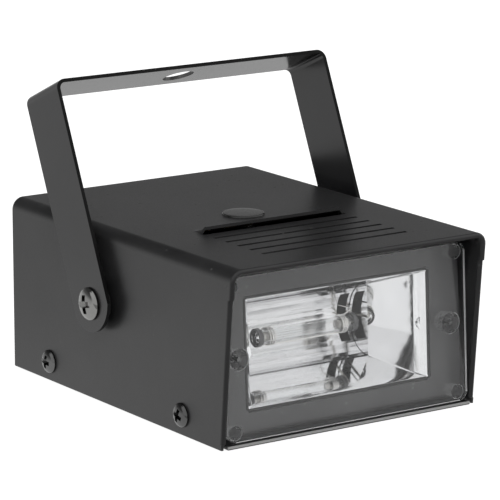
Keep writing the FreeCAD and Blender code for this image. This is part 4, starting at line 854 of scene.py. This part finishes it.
pin_x = 27.1
board_sheet, pin_stub = 1.6, 1.0
lamp_back = board_depth + board_sheet + pin_stub
shapes = []
for s in (1, -1):
    core = turned([(0, 0), (1.3, 0), (1.7, 0.3), (1.7, 4.7), (1.3, 5.0), (0, 5.0)], 28)
    shapes.append(aimed(core, (s * (tube_half - 8.0), tube_y, lamp_h), (s, 0, 0)))
    pin = rounded_path([(s * (tube_half - 3.2), tube_y, lamp_h), (s * pin_x, tube_y, lamp_h),
                        (s * pin_x, lamp_back, lamp_h)], 1.6)
    shapes.append(drawn_wire(pin, 0.5))
electrodes = worked(shapes[0], ("UNION", joined(shapes[1:])))
piece("tube_electrodes_and_pins", leaned(electrodes), "housing", nickel,
      ["tube_electrodes"])

tinned, _ = grained(
    "tinned trigger wire", dark=(0.74, 0.73, 0.71), light=(0.84, 0.83, 0.81), rough=0.22, spread=0.05,
    grain=3000.0, bump=0.05, metallic=1.0)
ring_radius, ring_out, ring_in = 3.42, 19.1, 15.85


def winding(x_from, x_to, start, turns):
    """Turns round the tube, from one place along it to another."""
    count = int(24 * turns)
    coil = []
    for i in range(count + 1):
        a = radians(start + 360 * turns * i / count)
        coil.append((x_from + (x_to - x_from) * i / count,
                     tube_y + ring_radius * cos(a), lamp_h + ring_radius * sin(a)))
    return coil


exit_x, exit_h = 24.5, lamp_h + 3.4 + 1.6
tail = rounded_path([(ring_out, tube_y, lamp_h + ring_radius), (exit_x, tube_y + 1.6, exit_h),
                     (exit_x, lamp_back, exit_h)], 1.2)
route = winding(-ring_out, -ring_in, -90, 3) + winding(ring_in, ring_out, -90, 3.5) + tail[1:]
piece("trigger_wire_winding", leaned(drawn_wire(route, 0.3, 10)), "housing", tinned,
      ["trigger_wire"])

# ------------ front panel and base
# Folded steel sheets: the panel round the reflector on its riveted foot, in a flatter paint
# laid mid grey as a painted reflection of the bright studio in the clear window before it,
# and the base with its rear panel and side flanges in the cover's paint, its front edge
# painted light grey as bare sheared steel with a painted highlight.
# Black paint laid mid grey: a painted reflection of the bright studio in the window over the panel.
panel_paint_greyed_as_reflection, n = grained("black panel paint greyed as painted reflection", **dict(
    PAINT, dark=(0.055, 0.055, 0.056), light=(0.070, 0.070, 0.071), bump=0.015, spread=0.012))
dusty = n.group("dust specks", Vector=n.place)["Mask"]
over(n, "Base Color", n.times(dusty, 0.5), DUST)


def dress(material, *nodes):
    """Give nodes that keep their CAD shape their material."""
    for node in nodes:
        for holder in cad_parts[node].material_slots:
            holder.material = material


dress(panel_paint_greyed_as_reflection, "front_panel")
base_paint, n = grained("black base paint", **PAINT)
x, y, z = n.axes()
# The front cut edge is painted light grey: bare sheared steel, with a painted highlight of the light it
# catches.
edge_y, edge_z = (-0.0757, -0.0760), (0.00028, 0.00040)
edge = n.times(n.span(y, *edge_y), n.span(z, *edge_z))
over(n, "Base Color", edge, (0.34, 0.34, 0.335))
over(n, "Roughness", edge, 0.45)
dress(base_paint, "base_chassis")

# ------------ speed knob
# Moulded knob, 22 mm across its skirt, pushed on the flat of the potentiometer's shaft. Its
# pointer groove is filled with white paint.
knob_y, knob_at = 78.4, (28.0, 38.0)
knob_plastic, _ = grained(
    "black knob plastic", dark=0.010, light=0.016, rough=0.38, spread=0.07, grain=1600.0, bump=0.10)
pointer_paint, _ = grained(
    "white pointer paint", dark=(0.62, 0.62, 0.60), light=(0.74, 0.74, 0.72), rough=0.5, grain=2400.0,
    bump=0.15)


def scalloped(radius, height, depth, count, flat=0.45, steps=8):
    """Ring of points with rounded grooves between flats; depth is a share of the radius."""
    ring = []
    for i in range(count):
        for k in range(steps):
            share = k / steps
            dip = 0 if share < flat else sin(pi * (share - flat) / (1 - flat))
            a = 2 * pi * (i + share) / count
            r = radius * (1 - depth * dip)
            ring.append((r * cos(a), r * sin(a), height))
    return ring


knob = skin([scalloped(r, z, d, 12) for r, z, d in (
    (10.75, 0, 0), (11.0, 0.25, 0), (11.0, 2.2, 0), (10.75, 2.5, 0), (10.1, 2.5, 0.03),
    (9.85, 2.8, 0.07), (9.3, 11.2, 0.07), (9.15, 11.7, 0.06), (8.75, 12.0, 0.04),
    (7.4, 12.0, 0), (7.1, 11.75, 0))])
seat = turned([(0, -1), (6.6, -1), (6.6, 4.2), (3.03, 4.2), (3.03, 10.0), (0, 10.0)], 40)
knob = worked(knob, ("DIFFERENCE", seat), ("DIFFERENCE", block((1.0, -0.7, 11.4), (11, 0.7, 13))))
knob.transform(Matrix.Translation((knob_at[0], knob_y, knob_at[1]))
               @ Matrix.Rotation(pi, 4, "Y") @ Matrix.Rotation(-pi / 2, 4, "X"))


def in_pointer(centre):
    """The floor of the pointer groove."""
    return abs(centre.z - knob_at[1]) < 0.65 and abs(centre.y - knob_y - 11.4) < 0.02


piece("fluted_speed_knob", knob, "knob", knob_plastic, ["speed_knob"],
      smooth=40, partly=[(pointer_paint, in_pointer)])

# ------------ cord inlet
# Nylon gland: a hexagon against the rear panel, a ribbed dome nut over a rubber seal, and a
# 12 mm thread that a nut clamps from inside.
nylon, _ = grained(
    "black nylon", dark=0.011, light=0.018, rough=0.46, spread=0.06, grain=1100.0, bump=0.14)
hexagon = turned([(0, 0), (8.35, 0), (8.66, 0.35), (8.66, 4.15), (8.35, 4.5), (0, 4.5)], 6)
dome = skin([scalloped(r, z, d, 16, 0.5, 6) for r, z, d in (
    (6.9, 4.3, 0.05), (7.1, 4.7, 0.05), (7.0, 7.4, 0.05), (6.75, 7.9, 0.0),
    (6.5, 9.1, 0.0), (6.0, 10.3, 0.0), (5.4, 11.1, 0.0), (4.6, 11.5, 0.0))])
thread = [(0, 0.5), (6.0, 0.5), (6.0, -1.4)]
for i in range(5):
    thread += [(5.95, -1.5 - 1.6 * i), (5.35, -2.1 - 1.6 * i), (5.35, -2.4 - 1.6 * i),
               (5.95, -3.0 - 1.6 * i)]
thread += [(5.6, -10.2), (0, -10.2)]
throat = turned([(0, -11), (3.2, -11), (3.2, 10.9), (3.9, 11.6), (3.9, 12), (0, 12)], 40)
gland = worked(hexagon, ("UNION", dome), ("UNION", turned(thread, 40)), ("DIFFERENCE", throat))
piece("cord_gland", aimed(gland, (-30.0, 75.0, 24.0), (0, 1, 0)), "housing", nylon,
      ["cable_gland"], smooth=30)
dress(nylon, "gland_nut")

# ------------ circuit boards
# Glass-epoxy boards, 1.6 mm: the lamp's board under pale lacquer behind the reflector, the
# main board under green lacquer on four pillars. The weave of the glass shows through.
n, given, out = effect(
    "ridges", [("Along", "Float", 0.0), ("Pitch", "Float", 0.001)], [("Height", "Float")])
turns = n.math("DIVIDE", given["Along"], given["Pitch"])
swing = n.math("SINE", n.times(turns, 2 * pi))
n.link(n.math("ADD", n.times(swing, 0.5), 0.5), out["Height"])


def ridged(n, along, pitch, strength=0.3, distance=0.0002, where=None):
    """Ridges across a coordinate, laid over a surface's grain; gives their height."""
    height = n.group("ridges", Pitch=pitch, Along=along)["Height"]
    if where:
        height = n.times(height, where)
    before = n.shader.inputs["Normal"].links[0].from_socket
    raised = n.add("ShaderNodeBump", Strength=strength, Distance=distance, Height=height, Normal=before)
    n.link(raised.outputs["Normal"], n.shader.inputs["Normal"])
    return height


for node, dark, light in (("lamp_board", (0.15, 0.15, 0.148), (0.19, 0.19, 0.187)),
                          ("main_board", (0.008, 0.035, 0.016), (0.014, 0.050, 0.024))):
    lacquer, n = grained(
        node + " lacquer", dark=dark, light=light, rough=0.34, spread=0.05, grain=700.0, bump=0.05)
    x, y, z = n.axes()
    weft = ridged(n, x, 0.0009, 0.12)
    warp = ridged(n, z if node == "lamp_board" else y, 0.0009, 0.12)
    over(n, "Base Color", n.times(n.times(weft, warp), 0.25), light)
    dress(lacquer, node)

# ------------ lamp's trigger coil
# Pulse transformer on the lamp's board: fine enamelled wire wound on a nylon bobbin with
# two flanges and a ferrite core.
winding_wire, n = grained(
    "enamelled winding", dark=(0.22, 0.075, 0.028), light=(0.30, 0.11, 0.045), rough=0.30, spread=0.05,
    grain=1500.0, bump=0.06)
x, y, z = n.axes()
ridged(n, y, 0.00045, 0.6)
wound_from, wound_to = -0.0171, -0.0067
ends = n.math("ADD", n.below(y, wound_from), n.above(y, wound_to))
over(n, "Base Color", ends, (0.40, 0.39, 0.35))
dress(winding_wire, "trigger_coil")

# ------------ wires
# Silicone-covered wires from the lamp's board to the main board, and PVC-covered ones from
# the potentiometer's tags.
for node, dark, light in (("lamp_leads", (0.30, 0.020, 0.016), (0.38, 0.030, 0.024)),
                          ("control_leads", (0.55, 0.55, 0.53), (0.66, 0.66, 0.64))):
    cover, n = grained(node + " cover", dark=dark, light=light, rough=0.48, grain=2600.0, bump=0.12)
    over(n, "Roughness", n.group("dust specks", Vector=n.place)["Mask"], 0.8)
    dress(cover, node)

# ------------ pillars and clips
# Turned brass pillars, swaged in the base and tapped for the main board's screws, and
# the sprung brass clips that hold the fuse.
brass, n = grained(
    "turned brass", dark=(0.62, 0.42, 0.16), light=(0.74, 0.53, 0.24), rough=0.30, grain=1800.0,
    bump=0.06, metallic=1.0)
x, y, z = n.axes()
ridged(n, z, 0.00022, 0.25, 0.00004)
dress(brass, "board_standoffs", "fuse_clips")

# ------------ nuts, washers and screws
# Zinc-plated steel: M6 nuts and washers of the pivots, the bushing's nut, and the boards'
# screws. The window's screws are blackened, for they are seen through its bosses.
dress(zinc, "lamp_board_screws", "board_screws", "potentiometer_nut", "pivot_washers", "pivot_nuts")
dress(black_zinc, "window_screws")

# ------------ storage capacitors
# Two aluminium cans, 18 by 35 mm, in shrunk blue sleeves with a pale band down one side;
# the scored tops are bare.
sleeve, n = grained(
    "shrunk blue sleeve", dark=(0.010, 0.026, 0.085), light=(0.016, 0.038, 0.115), rough=0.24,
    spread=0.05, grain=420.0, bump=0.10)
x, y, z = n.axes()
band_edge, sleeve_top = 0.0282, 0.04575
over(n, "Base Color", n.below(y, band_edge), (0.42, 0.43, 0.45))
bare = n.above(z, sleeve_top)
over(n, "Base Color", bare, (0.62, 0.62, 0.62))
over(n, "Roughness", bare, 0.42)
dress(sleeve, "storage_capacitors")

# ------------ film capacitor
# Dipped film capacitor, 26 by 9 by 18 mm, in thick yellow epoxy with soft dimples. Its
# legs are soldered in the main board.
dip, _ = grained(
    "yellow epoxy dip", dark=(0.50, 0.27, 0.018), light=(0.62, 0.36, 0.035), rough=0.20, spread=0.06,
    grain=240.0, bump=0.25, relief=0.0003)
dress(dip, "film_capacitor")

# ------------ power resistor
# Wound resistor cemented in a white ceramic trough, 48 mm long. Two wire legs soldered in
# the main board hold it.
cement, n = grained(
    "ceramic and cement", dark=(0.50, 0.48, 0.43), light=(0.66, 0.64, 0.59), rough=0.78, grain=900.0,
    bump=0.35, relief=0.0003)
x, y, z = n.axes()
body_foot = 0.0147
over(n, "Base Color", n.below(z, body_foot), (0.52, 0.51, 0.49))
dress(cement, "power_resistor")

# ------------ diodes and thyristor
# Moulded black epoxy on tinned legs: four diodes with a pale band at the cathode, and a
# thyristor with its metal tab.
band = (0.0368, 0.0380)
diode_middle, diode_half = 0.035, 0.00452
tab_foot = 0.0239
tinned_colour = (0.55, 0.54, 0.52)
moulded, n = grained("diode epoxy", dark=0.012, light=0.020, rough=0.40, grain=1400.0, bump=0.12)
x, y, z = n.axes()
ringed = n.times(n.above(x, band[0]), n.below(x, band[1]))
over(n, "Base Color", ringed, (0.50, 0.50, 0.50))
from_middle = n.math("ABSOLUTE", n.math("SUBTRACT", x, diode_middle))
over(n, "Base Color", n.above(from_middle, diode_half), tinned_colour)
dress(moulded, "rectifier_diodes")
switch, n = grained("thyristor epoxy", dark=0.012, light=0.020, rough=0.44, grain=1200.0, bump=0.16)
x, y, z = n.axes()
metal = n.math("ADD", n.below(z, body_foot), n.above(z, tab_foot))
over(n, "Base Color", metal, tinned_colour)
over(n, "Roughness", metal, 0.3)
dress(switch, "thyristor")

# ------------ fuse
# Glass cartridge fuse, 5.2 by 20 mm, with a nickel-plated cap at each end. Two clips on
# the main board hold it by its caps.
cartridge, n = grained(
    "fuse glass and caps", dark=(0.90, 0.91, 0.91), light=(0.95, 0.96, 0.96), rough=0.10, spread=0.04,
    grain=1200.0, bump=0.04, Transmission_Weight=0.9, IOR=1.47)
x, y, z = n.axes()
fuse_middle, bare_half = 0.014, 0.005
caps = n.above(n.math("ABSOLUTE", n.math("SUBTRACT", x, fuse_middle)), bare_half)
n.link(caps, n.shader.inputs["Metallic"])
over(n, "Base Color", caps, (0.62, 0.60, 0.56))
dress(cartridge, "fuse_link")

# ------------ terminal block
# Two-way screw terminal of moulded polyamide for the cord's ends, soldered in the main
# board.
polyamide, _ = grained(
    "grey polyamide", dark=(0.10, 0.105, 0.11), light=(0.15, 0.155, 0.16), rough=0.50, grain=1300.0,
    bump=0.18)
dress(polyamide, "terminal_block")

# ------------ potentiometer
# Pressed zinc-plated case on the rear panel, with a threaded bushing through it, three
# tags below, and a shaft of drawn steel.
case, n = grained(
    "pressed case", dark=(0.40, 0.40, 0.385), light=(0.52, 0.52, 0.50), rough=0.34, spread=0.07,
    grain=1000.0, bump=0.08, metallic=1.0)
x, y, z = n.axes()
bushing_from = 0.0752
ridged(n, y, 0.00075, 0.8, 0.0003, where=n.above(y, bushing_from))
dress(case, "speed_potentiometer")
drawn, n = grained(
    "drawn shaft", dark=(0.58, 0.58, 0.57), light=(0.68, 0.68, 0.67), rough=0.24, spread=0.05,
    grain=2200.0, bump=0.05, metallic=1.0)
x, y, z = n.axes()
ridged(n, y, 0.00018, 0.2, 0.00003)
dress(drawn, "potentiometer_shaft")

# ------------ panel rivets
# Three domed rivets with blackened heads, which hold the front panel's foot down on the
# base.
blackened, _ = grained(
    "blackened rivets", dark=0.030, light=(0.048, 0.048, 0.047), rough=0.36, grain=1900.0, bump=0.12,
    metallic=0.6)
dress(blackened, "panel_rivets")

# ------------ studio
# A white sweep under plain soft light, with painted shade on it where it is seen in reflections, and a
# camera 1.33 m away that looks a little down.
floor_mesh = bpy.data.meshes.new("studio_floor")
reach, drop = 6.0, 0.0004
ground = [(x * reach, y * reach, -drop) for x, y in ((-1, -1), (1, -1), (1, 1), (-1, 1))]
floor_mesh.from_pydata(ground, [], [(0, 1, 2, 3)])
placed("studio_floor", floor_mesh)
white = bpy.data.materials.new("studio white")
n = emptied(white)
seen = n.add("ShaderNodeLightPath").outputs
x, y, z = n.axes(n.add("ShaderNodeTexCoord").outputs["Object"])
# Painted shade: seen in reflections the floor is less than half as bright in front of the base's front
# edge, and slowly darker towards the back.
painted_floor_shade = n.times(n.span(y, 0.06, 0.24, 1.0, 0.80), n.span(y, -0.080, -0.074, 0.42, 1.0))
mirrored = n.math("MAXIMUM", n.times(seen["Is Glossy Ray"], painted_floor_shade), seen["Is Transmission Ray"])
matt = n.add("ShaderNodeBsdfDiffuse", Color=(0.30, 0.30, 0.30, 1.0))
glow = n.add(
    "ShaderNodeEmission", Color=(1.0, 1.0, 1.0, 1.0), Strength=n.times(seen["Is Camera Ray"], 0.86))
both = n.add("ShaderNodeAddShader")
n.link(matt.outputs[0], both.inputs[0])
n.link(glow.outputs[0], both.inputs[1])
even_glow = n.add("ShaderNodeEmission", Color=(1.0, 1.0, 1.0, 1.0), Strength=mirrored)
shown = n.add("ShaderNodeMixShader")
n.link(n.math("MAXIMUM", seen["Is Glossy Ray"], seen["Is Transmission Ray"]), shown.inputs[0])
n.link(both.outputs[0], shown.inputs[1])
n.link(even_glow.outputs[0], shown.inputs[2])
n.add("ShaderNodeOutputMaterial", Surface=shown.outputs[0])
floor_mesh.materials.append(white)

world = bpy.data.worlds.new("studio")
bpy.context.scene.world = world
n = emptied(world)
toward = n.add("ShaderNodeTexCoord").outputs["Generated"]
x, y, z = n.axes(toward)
fall = n.add("ShaderNodeValToRGB", Fac=z)
ramp_colours = fall.color_ramp
ramp_colours.interpolation = "EASE"
stops = [(0.0, 0.85), (0.10, 0.55), (0.22, 0.21), (0.50, 0.10), (1.0, 0.08)]
while len(ramp_colours.elements) < len(stops):
    ramp_colours.elements.new(0.5)
for element, (at, level) in zip(ramp_colours.elements, stops):
    element.position = at
    element.color = (level, level, level, 1.0)
before_lamp = n.span(y, 0.25, 0.0)
shown = n.mix(before_lamp, fall.outputs["Color"], 0.92)
for patch, from_dot, to_dot in (((-0.10, -0.15, 0.984), 0.93, 0.97),
                                ((-0.77, 0.0, 0.63), 0.90, 0.96)):
    facing = n.add("ShaderNodeVectorMath", operation="DOT_PRODUCT")
    n.feed(facing.inputs[0], toward)
    n.feed(facing.inputs[1], patch)
    shown = n.mix(n.span(facing.outputs["Value"], from_dot, to_dot), shown, 1.0)
seen = n.add("ShaderNodeLightPath").outputs
shown = n.mix(seen["Is Diffuse Ray"], shown, 0.75)
shown = n.mix(seen["Is Camera Ray"], shown, 1.0)
air = n.add("ShaderNodeBackground", Strength=1.0, Color=shown)
n.add("ShaderNodeOutputWorld", Surface=air.outputs[0])


def softbox(name, at, toward, size, power):
    lamp = bpy.data.lights.new(name, "AREA")
    lamp.shape = "SQUARE"
    lamp.size = size
    lamp.energy = power
    obj = placed(name, lamp)
    obj.location = at
    obj.rotation_euler = (Vector(toward) - Vector(at)).to_track_quat("-Z", "Y").to_euler()
    obj.visible_glossy = False
    obj.visible_transmission = False


softbox("key softbox", (-0.9, -0.9, 1.1), (0, 0, 0.04), 0.7, 9.0)
softbox("fill softbox", (1.2, -0.7, 0.8), (0, 0, 0.04), 0.8, 5.0)
softbox("back softbox", (0.2, 1.3, 1.0), (0, 0, 0.04), 0.8, 4.0)

azimuth, elevation = radians(34.466), radians(12.879)
right = Vector((cos(azimuth), -sin(azimuth), 0))
ahead = Vector((sin(azimuth) * cos(elevation), cos(azimuth) * cos(elevation), -sin(elevation)))
up = right.cross(ahead)
lens = bpy.data.cameras.new("camera")
lens.sensor_width = 36.0
lens.lens = 238.97
lens.clip_start, lens.clip_end = 0.05, 50.0
camera = placed("camera", lens)
camera.location = (Vector((0, 0, 33)) + right * 3.996 + up * 21.786 - ahead * 1330.05) * MM
camera.rotation_mode = "QUATERNION"
camera.rotation_quaternion = Matrix((right, up, -ahead)).transposed().to_quaternion()
bpy.context.scene.camera = camera
bpy.context.scene.view_settings.view_transform = "Standard"
